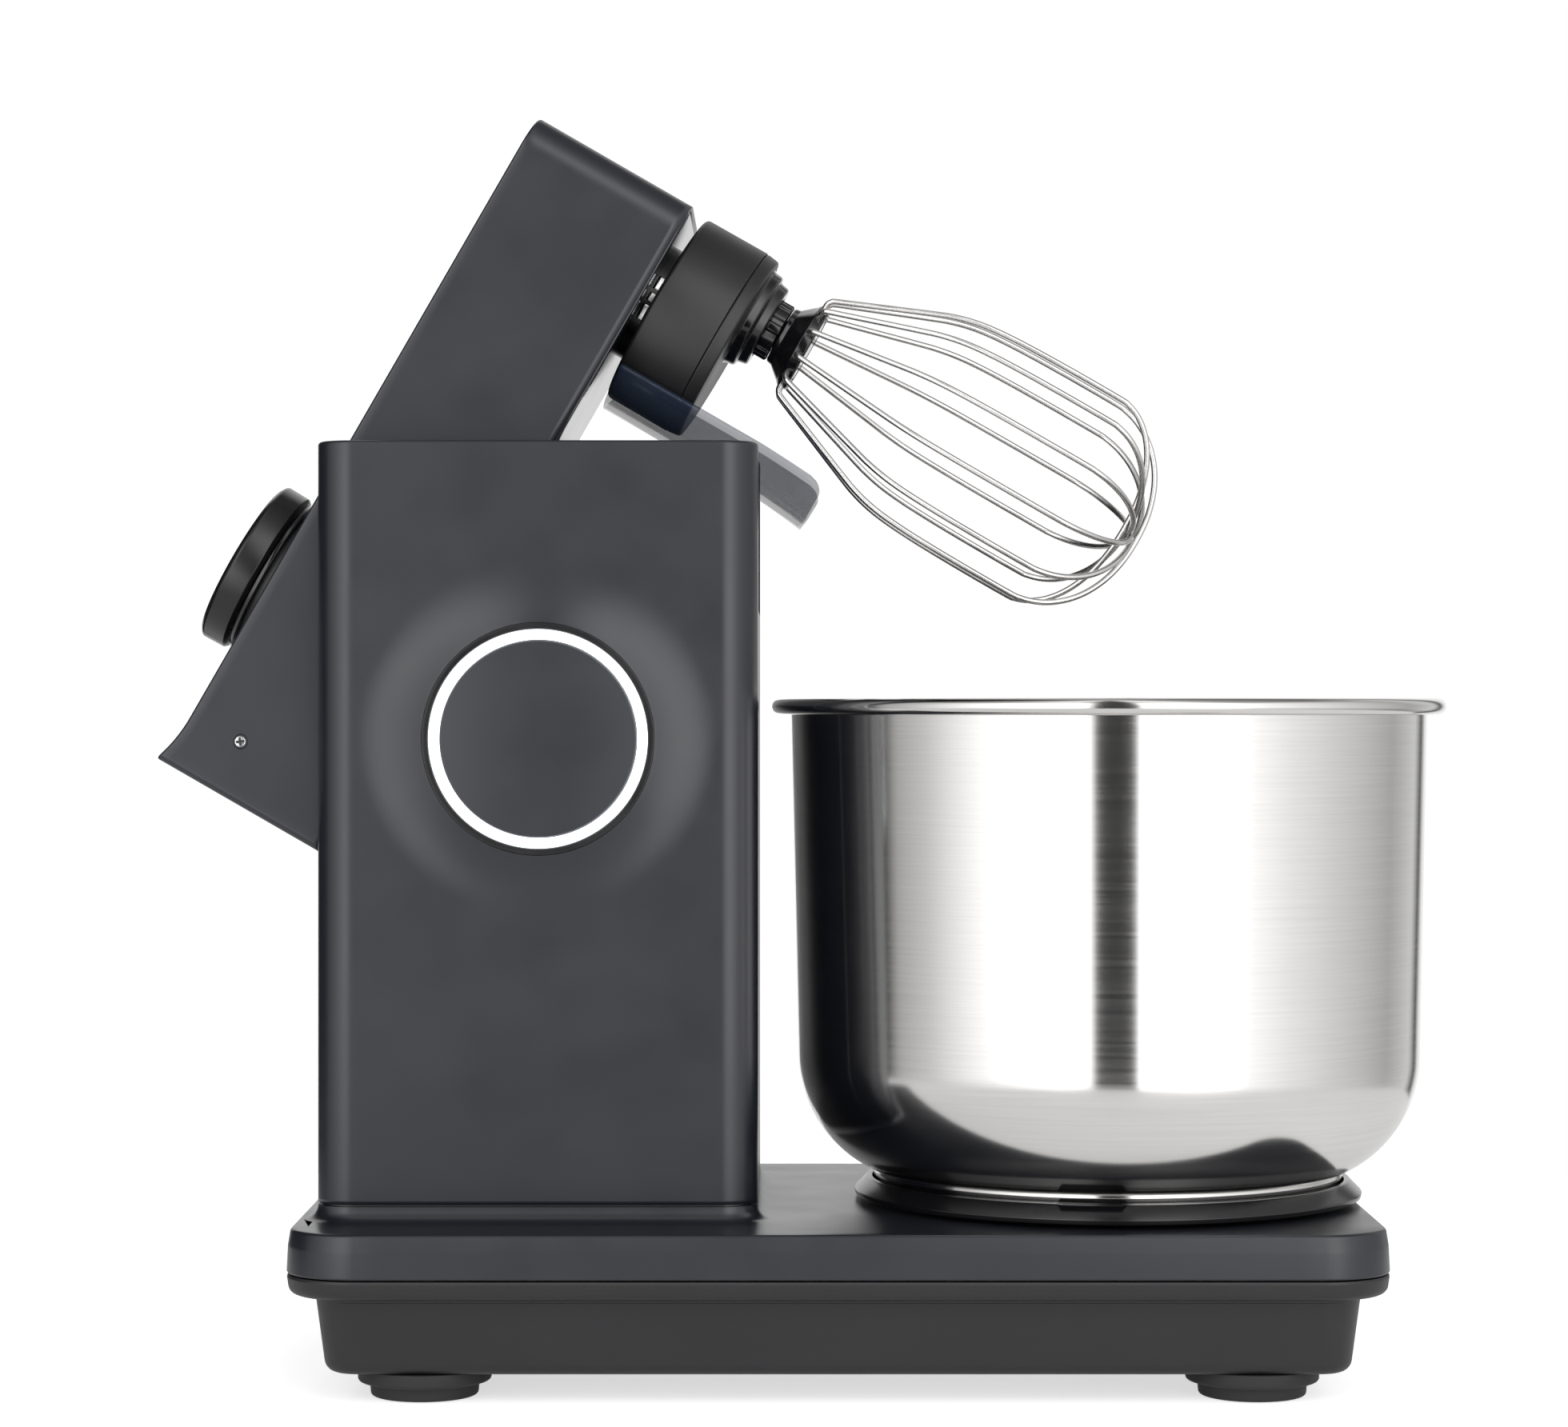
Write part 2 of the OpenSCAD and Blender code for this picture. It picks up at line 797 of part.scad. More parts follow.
module carrier_lid() {
    color(black_colour) on_head() translate([drive_x, 0, 0]) difference() {
        union() {
            tube(carrier_r - 1, 0, lid_low, housing_low);
            tube(carrier_r - wall - skin, 0, housing_low - over, housing_low + 1);
        }
        tube(shaft_r + snug, 0, housing_low - 0.01, 30);
        translate([orbit, 0, 0]) tube(planet_bearing_r + snug, 0, lid_low - over, 30);
        lid_screw_places() tube(tapped_r, 0, lid_low - over, 30);
        lid_screw_places() tube(3.2, 0, lid_low - over, lid_low + 1.8);
    }
}

module lid_screws() {
    color(steel_colour) on_head() translate([drive_x, 0, 0]) lid_screw_places() {
        tube(screw_r, 0, lid_low + 1.8, housing_low + 1);
        tube(3, 0, lid_low + 0.3, lid_low + 1.8);
    }
}

module planet_bearing() {
    color(steel_colour) on_head() translate([whisk_x, 0, 0])
        tube(planet_bearing_r, planet_shaft_r + skin, lid_low, 19.5);
}

module planet_gear() {
    color(steel_colour) on_head() translate([whisk_x, 0, 0]) difference() {
        spur(planet_teeth, planet_module, 22.5, 30);
        tube(planet_shaft_r, 0, 20, 32);
    }
}

// The shaft shows as a splined drum, and its round end goes into the whisk.
module whisk_shaft() {
    color(black_colour) on_head() translate([whisk_x, 0, 0]) {
        tube(planet_shaft_r, 0, collar_low, 31.5);
        difference() {
            tube(11.1, 0, spline_low, collar_low - 0.3);
            for (a = [0:36:324]) rotate(a) translate([11.6, 0, 0]) tube(1.5, 0, 0, 8);
        }
        tube(plug_r, 0, plug_low, spline_low + 0.1);
        tube(7.5, 0, collar_low - 0.4, collar_low + 0.1);
    }
}

module shaft_collar() {
    color(black_colour) on_head() translate([whisk_x, 0, 0]) difference() {
        union() {
            tube(18.2, 0, 9.6, lid_low);
            tube(15.4, 0, collar_low, 9.7);
        }
        tube(7.8, 0, collar_low - over, lid_low + over);
    }
}

module splash_shield() {
    color("#7f8ea6", 0.45) on_head() translate([drive_x, 0, 0]) rotate(180 - shield_half_angle)
        rotate_extrude(angle = 2 * shield_half_angle) polygon([
            [carrier_r + skin, 43], [carrier_r + skin, -14], [carrier_r + 2.8, -38], [carrier_r + 4.6, -41],
            [carrier_r + 5, -38], [carrier_r + 2.4, -14], [carrier_r + 2.4, 43]
        ]);
}

// ---- whisk ----

module whisk_hub() {
    color(black_colour) on_head() translate([whisk_x, 0, 0]) difference() {
        rotate_extrude() polygon([
            [0, spline_low - gap], [11, spline_low - gap], [16.3, hub_low + 4], [16.3, hub_low], [0, hub_low]
        ]);
        tube(plug_r + skin, 0, plug_low - skin, 3);
    }
}

// Points of one half of a loop, as radius and height, from the hub to the tip.
function half_loop(tip) = concat(
    [[13, hub_low + 2], [18.5, hub_low + 1.8], [20.6, hub_low + 0.6], [22, hub_low - 2.2]],
    [[cage_r - 1.6, cage_top + 4], [cage_r - 0.5, cage_top - 1], [cage_r, cage_top - 6]],
    [for (a = [0:10:90]) [cage_r * cos(a), cage_low - (cage_low - tip) * sin(a)]]
);

// A round rod of radius r along points in the XZ plane, as one closed solid.
module rod_along(points, r) {
    sides = 8;
    count = len(points);
    along = [for (i = [0:count - 1]) let (d = points[min(i + 1, count - 1)] - points[max(i - 1, 0)])
        d / norm(d)];
    rings = [for (i = [0:count - 1], k = [0:sides - 1]) let (a = 360 * k / sides) [
        points[i][0] - along[i][1] * r * cos(a), r * sin(a), points[i][1] + along[i][0] * r * cos(a)
    ]];
    sides_faces = [for (i = [0:count - 2], k = [0:sides - 1]) let (n = (k + 1) % sides)
        [i * sides + k, i * sides + n, (i + 1) * sides + n, (i + 1) * sides + k]];
    ends = [[for (k = [sides - 1:-1:0]) k], [for (k = [0:sides - 1]) (count - 1) * sides + k]];
    polyhedron(rings, concat(sides_faces, ends), convexity = 6);
}

module whisk_wires() {
    color(steel_colour) on_head() translate([whisk_x, 0, 0]) for (i = [0:wire_loops - 1])
        rotate(15 + 180 / wire_loops * i) let (
            half = half_loop(cage_tip + i * (wire_d + 0.15)),
            last = len(half) - 1
        ) rod_along(concat(half, [for (k = [last - 1:-1:0]) [-half[k][0], half[k][1]]]), wire_d / 2);
}

// ---- bowl ----

curve_z = bowl_bottom_z + bowl_curve;
curve_x = bowl_low_r - bowl_curve;

module bowl() {
    inner = bowl_curve - bowl_wall;
    color(steel_colour) translate([bowl_x, 0, 0]) rotate_extrude() polygon(concat(
        [[0, bowl_bottom_z]],
        [for (a = [-90:9:0]) [curve_x + bowl_curve * cos(a), curve_z + bowl_curve * sin(a)]],
        [[bowl_r, rim_z - 6], [bowl_r + 1.2, rim_z - 4.2], [rim_r - 2.6, rim_z - 5.4]],
        [for (a = [-60:30:90]) [rim_r - 2.6 + 2.6 * cos(a), rim_z - 2.6 + 2.6 * sin(a)]],
        [[bowl_r + 0.4, rim_z - 1], [bowl_r - bowl_wall, rim_z - 5]],
        [for (a = [0:-9:-90]) [curve_x + inner * cos(a), curve_z + inner * sin(a)]],
        [[0, bowl_bottom_z + bowl_wall]]
    ));
}

module bowl_foot() {
    top = curve_z - sqrt(pow(bowl_curve, 2) - pow(bowl_foot_r - curve_x, 2));
    low = base_top_z + 3.6;
    color(steel_colour) translate([bowl_x, 0, 0]) rotate_extrude() polygon([
        [bowl_foot_r - 3, low], [bowl_foot_r, low], [bowl_foot_r, top - 0.1],
        [bowl_foot_r - 1.5, top - 0.7], [bowl_foot_r - 1.5, low + 1.5], [bowl_foot_r - 3, low + 1.5]
    ]);
}

base_top();
base_tub();
rubber_feet();
foot_screws();
base_screws();
chassis_plate();
seat_bearing();
seat_ring();
seat_spindle();
seat_clip();
column_shell();
slot_liner();
hinge_plates();
hinge_axle();
counter_spring();
ring_bezel();
light_ring();
lamp_board();
button_guide();
button_spring();
release_button();
latch_pin();
control_board();
cord_gland();
head_shell();
head_underside();
head_screws();
hinge_arm();
hinge_bushes();
knob_plinth();
knob_ring();
knob();
knob_spindle();
knob_control();
motor_can();
motor_rotor();
motor_pinion();
gear_plate();
reduction_gear();
output_wheel();
drive_shaft();
upper_bearing();
lower_bearing();
neck();
ring_gear();
carrier_housing();
carrier_lid();
lid_screws();
planet_bearing();
planet_gear();
whisk_shaft();
shaft_collar();
splash_shield();
whisk_hub();
whisk_wires();
bowl();
bowl_foot();
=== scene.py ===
import json
import math
import bpy
import bmesh
import numpy as np
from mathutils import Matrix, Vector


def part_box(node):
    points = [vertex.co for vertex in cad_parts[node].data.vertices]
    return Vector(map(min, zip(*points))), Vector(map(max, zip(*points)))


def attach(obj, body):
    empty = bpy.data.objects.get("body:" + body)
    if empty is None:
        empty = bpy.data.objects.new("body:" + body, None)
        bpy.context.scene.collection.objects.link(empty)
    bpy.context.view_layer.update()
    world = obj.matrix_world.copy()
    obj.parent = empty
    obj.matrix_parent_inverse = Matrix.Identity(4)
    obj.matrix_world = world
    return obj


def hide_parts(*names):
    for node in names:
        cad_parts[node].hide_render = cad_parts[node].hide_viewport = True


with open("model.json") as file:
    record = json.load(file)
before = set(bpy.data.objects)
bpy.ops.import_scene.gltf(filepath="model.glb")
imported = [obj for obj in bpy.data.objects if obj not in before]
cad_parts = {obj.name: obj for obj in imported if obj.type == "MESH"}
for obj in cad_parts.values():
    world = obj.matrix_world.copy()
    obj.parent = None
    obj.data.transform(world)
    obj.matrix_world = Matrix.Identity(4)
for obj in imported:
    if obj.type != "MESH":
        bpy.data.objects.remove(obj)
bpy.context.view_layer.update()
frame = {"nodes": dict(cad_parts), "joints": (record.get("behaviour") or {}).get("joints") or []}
mm = 0.001

# ---- where things are, from the frame ----
jointNamed = {j["name"]: j for j in frame["joints"]}
tilt = math.radians(jointNamed["head_tilt"]["range_deg"][1])
pivot = np.array(jointNamed["head_tilt"]["pos_m"], float)
seatAxis = np.array(jointNamed["bowl_turn"]["pos_m"], float)
baseLow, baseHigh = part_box("base_top")
columnLow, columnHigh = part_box("column_shell")


def onHead(points):
    # level head coordinates in millimetres, from the hinge axle, turned up by the tilt
    x, y, z = points[..., 0] * mm, points[..., 1] * mm, points[..., 2] * mm
    return np.stack([pivot[0] + x * math.cos(tilt) - z * math.sin(tilt), pivot[1] + y,
                     pivot[2] + x * math.sin(tilt) + z * math.cos(tilt)], -1)


def onSide(points):
    # z of the input points outwards along -Y from the hinge axle's middle
    x, y, z = points[..., 0] * mm, points[..., 1] * mm, points[..., 2] * mm
    return np.stack([pivot[0] + x, pivot[1] - z, pivot[2] + y], -1)


def onBowl(points):
    return np.stack([seatAxis[0] + points[..., 0] * mm, seatAxis[1] + points[..., 1] * mm,
                     points[..., 2] * mm], -1)


def asIs(points):
    return points * mm


# ---- shapes ----

def fillet(corners, steps=6):
    # a polyline of (a, b, radius): each corner with a radius becomes an arc of the circle
    # that touches both of its sides
    pts = np.array([c[:2] for c in corners], float)
    out = [pts[0]]
    for i in range(1, len(corners) - 1):
        r = corners[i][2] if len(corners[i]) > 2 else 0
        u, v = pts[i - 1] - pts[i], pts[i + 1] - pts[i]
        lu, lv = np.linalg.norm(u), np.linalg.norm(v)
        u, v = u / lu, v / lv
        half = math.acos(float(np.clip(u @ v, -1, 1))) / 2
        if r <= 0 or half > 1.56:
            out.append(pts[i])
            continue
        reach = min(r / math.tan(half), lu * 0.49, lv * 0.49)
        r = reach * math.tan(half)
        middle = pts[i] + (u + v) / np.linalg.norm(u + v) * r / math.sin(half)
        a, b = pts[i] + u * reach - middle, pts[i] + v * reach - middle
        sweep = math.atan2(a[0] * b[1] - a[1] * b[0], a @ b)
        t = np.linspace(0, sweep, steps + 1)[:, None]
        turned = np.stack([-a[1], a[0]])
        out.extend(middle + a * np.cos(t) + turned * np.sin(t))
    out.append(pts[-1])
    return np.array(out)


def gridFaces(rows, cols, wrapRows, wrapCols, start=0):
    i = np.arange(rows if wrapRows else rows - 1)[:, None]
    j = np.arange(cols if wrapCols else cols - 1)[None, :]
    a = i * cols + j
    b = i * cols + (j + 1) % cols
    c = ((i + 1) % rows) * cols + (j + 1) % cols
    d = ((i + 1) % rows) * cols + j
    return np.stack([a, b, c, d], -1).reshape(-1, 4) + start


def makePiece(name, grids, wrapCols=True, wrapRows=False, caps=(False, False), sharp=35, merge=True):
    # each grid is rows by columns of points in metres, already in place
    grids = grids if isinstance(grids, list) else [grids]
    verts, faces, start = [], [], 0
    for g in grids:
        rows, cols = g.shape[:2]
        verts.append(g.reshape(-1, 3))
        faces.extend(gridFaces(rows, cols, wrapRows, wrapCols, start).tolist())
        if caps[0]:
            faces.append(list(range(start + cols - 1, start - 1, -1)))
        if caps[1]:
            faces.append(list(range(start + (rows - 1) * cols, start + rows * cols)))
        start += rows * cols
    mesh = bpy.data.meshes.new(name)
    mesh.from_pydata(np.concatenate(verts).tolist(), [], faces)
    work = bmesh.new()
    work.from_mesh(mesh)
    if merge:
        bmesh.ops.remove_doubles(work, verts=work.verts, dist=1e-6)
    bmesh.ops.dissolve_degenerate(work, edges=work.edges, dist=1e-7)
    bmesh.ops.recalc_face_normals(work, faces=work.faces)
    work.to_mesh(mesh)
    work.free()
    mesh.shade_smooth()
    mesh.set_sharp_from_angle(angle=math.radians(sharp))
    piece = bpy.data.objects.new(name, mesh)
    bpy.context.scene.collection.objects.link(piece)
    return piece


def revolve(profile, steps=128, wobble=None):
    # a profile of (radius, height) carried round the Z axis; wobble scales the radius by angle
    a = np.linspace(0, 2 * np.pi, steps, endpoint=False)
    r, z = profile[:, 0][:, None], profile[:, 1][:, None]
    rr = r * np.ones_like(a)
    if wobble is not None:
        rr = wobble(rr, a[None, :], z)
    return np.stack([rr * np.cos(a), rr * np.sin(a), z * np.ones_like(a)], -1)


def roundOutline(x0, x1, half, r, sideSteps=24, cornerSteps=12, endSteps=10, rearR=None):
    # points and outward normals round a rectangle with round corners, from the rear's middle
    pts, normals = [], []
    back = r if rearR is None else rearR

    def side(p, q, n, steps):
        t = np.linspace(0, 1, steps, endpoint=False)[:, None]
        pts.append(p + (q - p) * t)
        normals.append(np.repeat([n], steps, 0))

    def corner(cx, cy, a0, r):
        a = np.radians(np.linspace(a0, a0 + 90, cornerSteps, endpoint=False))
        n = np.stack([np.cos(a), np.sin(a)], -1)
        pts.append(np.array([cx, cy]) + r * n)
        normals.append(n)

    a = np.array
    side(a([x0, 0.0]), a([x0, -half + back]), [-1, 0], endSteps)
    corner(x0 + back, -half + back, 180, back)
    side(a([x0 + back, -half]), a([x1 - r, -half]), [0, -1], sideSteps)
    corner(x1 - r, -half + r, 270, r)
    side(a([x1, -half + r]), a([x1, half - r]), [1, 0], 2 * endSteps)
    corner(x1 - r, half - r, 0, r)
    side(a([x1 - r, half]), a([x0 + back, half]), [0, 1], sideSteps)
    corner(x0 + back, half - back, 90, back)
    side(a([x0, half - back]), a([x0, 0.0]), [-1, 0], endSteps)
    return np.concatenate(pts), np.concatenate(normals).astype(float)


def loft(outline, profile):
    # a profile of (inset, height) carried round an outline
    pts, normals = outline
    flat = pts[None] - normals[None] * profile[:, 0][:, None, None]
    z = np.broadcast_to(profile[:, 1][:, None, None], flat.shape[:2] + (1,))
    return np.concatenate([flat, z], -1)


def sweep(path, radius, sides=10):
    # a circle carried along a path, with its frame turned as little as possible
    d = np.gradient(path, axis=0)
    d /= np.linalg.norm(d, axis=1)[:, None]
    up = np.zeros_like(d)
    first = np.cross(d[0], [0.3, 0.5, 0.8])
    up[0] = first / np.linalg.norm(first)
    for i in range(1, len(path)):
        u = up[i - 1] - d[i] * (up[i - 1] @ d[i])
        up[i] = u / np.linalg.norm(u)
    right = np.cross(d, up)
    a = np.linspace(0, 2 * np.pi, sides, endpoint=False)
    r = np.broadcast_to(np.asarray(radius, float), (len(path),))[:, None, None]
    ring = up[:, None] * np.cos(a)[None, :, None] + right[:, None] * np.sin(a)[None, :, None]
    return path[:, None] + ring * r


def smoothPath(points, steps=8):
    # a Catmull-Rom curve through the points
    p = np.concatenate([[2 * points[0] - points[1]], points, [2 * points[-1] - points[-2]]])
    t = np.linspace(0, 1, steps, endpoint=False)[:, None]
    out = []
    for i in range(len(points) - 1):
        a, b, c, d = p[i:i + 4]
        out.append(0.5 * (2 * b + (c - a) * t + (2 * a - 5 * b + 4 * c - d) * t ** 2
                          + (3 * b - a - 3 * c + d) * t ** 3))
    return np.concatenate(out + [points[-1:]])


def thicken(piece, thickness):
    solid = piece.modifiers.new("thickness", "SOLIDIFY")
    solid.thickness = thickness * mm
    solid.offset = -1
    solid.use_even_offset = False


# ---- materials ----

def shaderBase(name, colour, rough, metal=0.0, coat=0.0, coatRough=0.1, specular=0.5):
    mat = bpy.data.materials.new(name)
    mat.use_nodes = True
    shader = mat.node_tree.nodes["Principled BSDF"]
    shader.inputs["Base Color"].default_value = (*colour, 1)
    shader.inputs["Roughness"].default_value = rough
    shader.inputs["Metallic"].default_value = metal
    shader.inputs["Coat Weight"].default_value = coat
    shader.inputs["Coat Roughness"].default_value = coatRough
    shader.inputs["Specular IOR Level"].default_value = specular
    return mat, mat.node_tree.nodes, mat.node_tree.links, shader


def objectNoise(nodes, links, scale, detail=3.0, stretch=(1, 1, 1), rough=0.5):
    coords = nodes.new("ShaderNodeTexCoord")
    place = nodes.new("ShaderNodeMapping")
    place.inputs["Scale"].default_value = stretch
    noise = nodes.new("ShaderNodeTexNoise")
    noise.inputs["Scale"].default_value = scale
    noise.inputs["Detail"].default_value = detail
    noise.inputs["Roughness"].default_value = rough
    links.new(coords.outputs["Object"], place.inputs["Vector"])
    links.new(place.outputs["Vector"], noise.inputs["Vector"])
    return noise


def ramp(nodes, links, source, stops):
    node = nodes.new("ShaderNodeValToRGB")
    elements = node.color_ramp.elements
    elements[0].position, elements[-1].position = stops[0][0], stops[-1][0]
    elements[0].color, elements[-1].color = (*stops[0][1], 1), (*stops[-1][1], 1)
    for place, colour in stops[1:-1]:
        elements.new(place).color = (*colour, 1)
    links.new(source, node.inputs["Fac"])
    return node.outputs["Color"]


def grey(v):
    return (v, v, v)


def addBump(nodes, links, shader, source, strength, distance):
    bump = nodes.new("ShaderNodeBump")
    bump.inputs["Strength"].default_value = strength
    bump.inputs["Distance"].default_value = distance * mm
    links.new(source, bump.inputs["Height"])
    links.new(bump.outputs["Normal"], shader.inputs["Normal"])


def grained(name, colour, rough, grain=900, depth=0.05, spread=0.05, shade=0.12, **extra):
    # moulded or painted finish: fine grain in the bump, cloudy change of roughness and colour
    mat, nodes, links, shader = shaderBase(name, colour, rough, **extra)
    fine = objectNoise(nodes, links, grain, 2.0)
    addBump(nodes, links, shader, fine.outputs["Fac"], 0.35, depth)
    cloud = objectNoise(nodes, links, 38, 3.0)
    links.new(ramp(nodes, links, cloud.outputs["Fac"],
                   [(0.3, grey(max(rough - spread, 0.02))), (0.7, grey(min(rough + spread, 1)))]),
              shader.inputs["Roughness"])
    low = tuple(c * (1 - shade) for c in colour)
    high = tuple(c * (1 + shade) for c in colour)
    links.new(ramp(nodes, links, cloud.outputs["Fac"], [(0.35, low), (0.65, high)]),
              shader.inputs["Base Color"])
    return mat


def turnedSteel(name, colour, rough, lines=2600, depth=0.006, along="z", blur=0.0, smudge=0.3):
    # polished sheet with fine lines round the axis: noise squeezed along one direction
    mat, nodes, links, shader = shaderBase(name, colour, rough, metal=1.0)
    if blur:
        shader.inputs["Anisotropic"].default_value = blur
        tangent = nodes.new("ShaderNodeTangent")
        tangent.direction_type = "RADIAL"
        tangent.axis = "Z"
        shader.inputs["Anisotropic Rotation"].default_value = 0.25
        links.new(tangent.outputs["Tangent"], shader.inputs["Tangent"])
    stretch = {"z": (0.02, 0.02, 1.0), "x": (1.0, 0.02, 0.02), "none": (1, 1, 1)}[along]
    fine = objectNoise(nodes, links, lines, 2.0, stretch)
    addBump(nodes, links, shader, fine.outputs["Fac"], 0.25, depth)
    smear = objectNoise(nodes, links, lines * 0.3, 3.0, stretch)
    links.new(ramp(nodes, links, smear.outputs["Fac"],
                   [(0.3, grey(rough * (1 - smudge))), (0.7, grey(rough * (1 + smudge)))]),
              shader.inputs["Roughness"])
    low = tuple(c * 0.94 for c in colour)
    links.new(ramp(nodes, links, smear.outputs["Fac"], [(0.3, low), (0.7, colour)]),
              shader.inputs["Base Color"])
    return mat


finishes = {
    "bodyPaint": grained("bodyPaint", (0.0112, 0.0124, 0.0180), 0.31, grain=2600, depth=0.008, shade=0.03,
                         spread=0.025, specular=0.62),
    "glossPaint": grained("glossPaint", (0.0098, 0.0110, 0.0155), 0.12, grain=900, depth=0.002, shade=0.03,
                          spread=0.02, specular=0.6),
    "tubPlastic": grained("tubPlastic", (0.0125, 0.0125, 0.014), 0.45, grain=1500, depth=0.03, shade=0.05),
    "seatPlastic": grained("seatPlastic", (0.005, 0.005, 0.006), 0.20, grain=1800, depth=0.015),
    "rubber": grained("rubber", (0.016, 0.016, 0.017), 0.62, grain=700, depth=0.05),
    "castZinc": grained("castZinc", (0.42, 0.43, 0.44), 0.4, grain=420, depth=0.06, metal=1.0, shade=0.08),
    "bronze": grained("bronze", (0.46, 0.31, 0.15), 0.38, grain=900, depth=0.02, metal=1.0),
    "groundSteel": turnedSteel("groundSteel", (0.56, 0.56, 0.57), 0.25, lines=1800, along="none"),
    "bowlSteel": turnedSteel("bowlSteel", (0.73, 0.72, 0.705), 0.14, lines=3600, depth=0.0012, blur=0.6,
                             smudge=0.1),
    "wireSteel": turnedSteel("wireSteel", (0.70, 0.69, 0.68), 0.27, lines=400, depth=0.0003, along="none"),
    "blackGloss": grained("blackGloss", (0.005, 0.005, 0.006), 0.14, grain=300, depth=0.01, spread=0.04,
                          coat=0.25),
    "blackSatin": grained("blackSatin", (0.007, 0.007, 0.008), 0.25, grain=1400, depth=0.01, spread=0.04),
    "sparkBlack": grained("sparkBlack", (0.011, 0.011, 0.012), 0.42, grain=1350, depth=0.09, shade=0.10),
    "board": grained("board", (0.03, 0.13, 0.07), 0.35, grain=600, depth=0.03, shade=0.2),
    "nylon": grained("nylon", (0.62, 0.58, 0.48), 0.42, grain=500, depth=0.02),
}


def lightFinish():
    mat, nodes, links, shader = shaderBase("litRing", (0.9, 0.93, 1.0), 0.4)
    cloud = objectNoise(nodes, links, 60, 2.0)
    glow = ramp(nodes, links, cloud.outputs["Fac"], [(0.3, (0.86, 0.92, 1.0)), (0.7, (0.93, 0.96, 1.0))])
    links.new(glow, shader.inputs["Emission Color"])
    links.new(glow, shader.inputs["Base Color"])
    shader.inputs["Emission Strength"].default_value = 2.6
    return mat


def smokeFinish():
    # a tinted sheet: each of its faces lets a little over half of the light through
    mat, nodes, links, shader = shaderBase("smokedClear", (0.035, 0.05, 0.085), 0.07)
    cloud = objectNoise(nodes, links, 14, 2.0)
    links.new(ramp(nodes, links, cloud.outputs["Fac"],
                   [(0.3, (0.032, 0.045, 0.078)), (0.7, (0.038, 0.055, 0.092))]),
              shader.inputs["Base Color"])
    links.new(ramp(nodes, links, cloud.outputs["Fac"], [(0.3, grey(0.40)), (0.7, grey(0.46))]),
              shader.inputs["Alpha"])
    return mat


finishes["litRing"] = lightFinish()
finishes["smokedClear"] = smokeFinish()


def settle(piece, finish, body, slot, *nodes):
    piece.data.materials.clear()
    piece.data.materials.append(finishes[finish])
    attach(piece, body)
    if nodes:
        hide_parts(*nodes)


# ---- camera ----
cameraSpec = {"x": -0.0088, "distance": 1.421, "height": 0.238, "lens": 90.0, "sensor": 36.0,
              "shiftY": -0.0061, "roll": 0.0}
camera = bpy.data.objects.new("camera", bpy.data.cameras.new("camera"))
bpy.context.scene.collection.objects.link(camera)
camera.location = (cameraSpec["x"], -cameraSpec["distance"], cameraSpec["height"])
camera.rotation_euler = (math.radians(90), math.radians(cameraSpec["roll"]), 0)
camera.data.lens = cameraSpec["lens"]
camera.data.sensor_width = cameraSpec["sensor"]
camera.data.shift_y = cameraSpec["shiftY"]
camera.data.clip_start = 0.05
bpy.context.scene.camera = camera
print("camera set")

# ---- base ----
baseSpec = {"corner": 25.0, "seam": 44.0, "top": 59.4, "draft": 1.4, "edge": 1.4, "wall": 3.0,
            "flare": 5.0, "lipLow": 37.0, "tubInset": 10.0, "tubTaper": 3.4, "tubFloor": 10.0,
            "tubEdge": 4.5, "columnCorner": 12.5, "columnSeam": 65.0}


def buildBaseTop():
    s = baseSpec
    x0, x1, half = baseLow.x / mm, baseHigh.x / mm, baseHigh.y / mm
    steps = dict(sideSteps=40, cornerSteps=14, endSteps=14)
    outer = roundOutline(x0, x1, half, s["corner"], **steps)
    column = roundOutline(columnLow.x / mm, columnHigh.x / mm, columnHigh.y / mm, s["columnCorner"], **steps)
    skirt = fillet([(s["wall"], s["seam"] + 8), (s["wall"], s["seam"] + 0.25), (0.3, s["seam"] + 0.25, 0.3),
                    (0.0, s["seam"] + 0.8, 0.3), (s["draft"] * 0.3, s["top"] - 6, 8),
                    (s["draft"], s["top"], s["edge"]), (s["draft"] + 6, s["top"])])
    side = loft(outer, skirt)
    # a quarter of an ellipse rises from the top face to the column's seam
    t = np.linspace(0, np.pi / 2, 12)
    seam = s["columnSeam"] - 0.5
    foot = np.stack([-s["flare"] * (1 - np.sin(t)), s["top"] + (seam - s["top"]) * (1 - np.cos(t))], -1)
    foot = np.concatenate([foot, [[1.6, seam], [1.6, s["columnSeam"] + 0.3]]])
    rise = loft(column, foot)
    k = np.linspace(0, 1, 6)[1:-1, None, None]
    deck = side[-1][None] * (1 - k) + rise[0][None] * k
    piece = makePiece("baseTop", asIs(np.concatenate([side, deck, rise])), sharp=50)
    settle(piece, "bodyPaint", "base", "body_paint", "base_top")


def buildTub():
    s = baseSpec
    x0, x1, half = baseLow.x / mm, baseHigh.x / mm, baseHigh.y / mm
    outer = roundOutline(x0, x1, half, s["corner"], sideSteps=20, cornerSteps=14, endSteps=8)
    inset, low = s["tubInset"], s["tubFloor"]
    profile = fillet([(s["wall"], s["seam"] - 3), (s["wall"], s["seam"] - 0.25), (0.4, s["seam"] - 0.25, 0.3),
                      (0.1, s["seam"] - 1.2, 0.5), (0.9, s["lipLow"], 3.2),
                      (inset - 0.9, s["lipLow"] - 0.2, 0.3),
                      (inset - 0.9, s["lipLow"] - 1.6, 0.3), (inset, s["lipLow"] - 1.9, 0.4),
                      (inset + s["tubTaper"], low, s["tubEdge"]), (inset + s["tubTaper"] + 8, low)])
    piece = makePiece("baseTub", asIs(loft(outer, profile)), caps=(False, True), sharp=50)
    settle(piece, "tubPlastic", "base", "tub_plastic", "base_tub")


feetSpec = {"wide": 23.0, "tip": 18.5, "step": 5.0, "top": 9.9, "edge": 1.2, "hole": 5.0, "sole": 0.02}


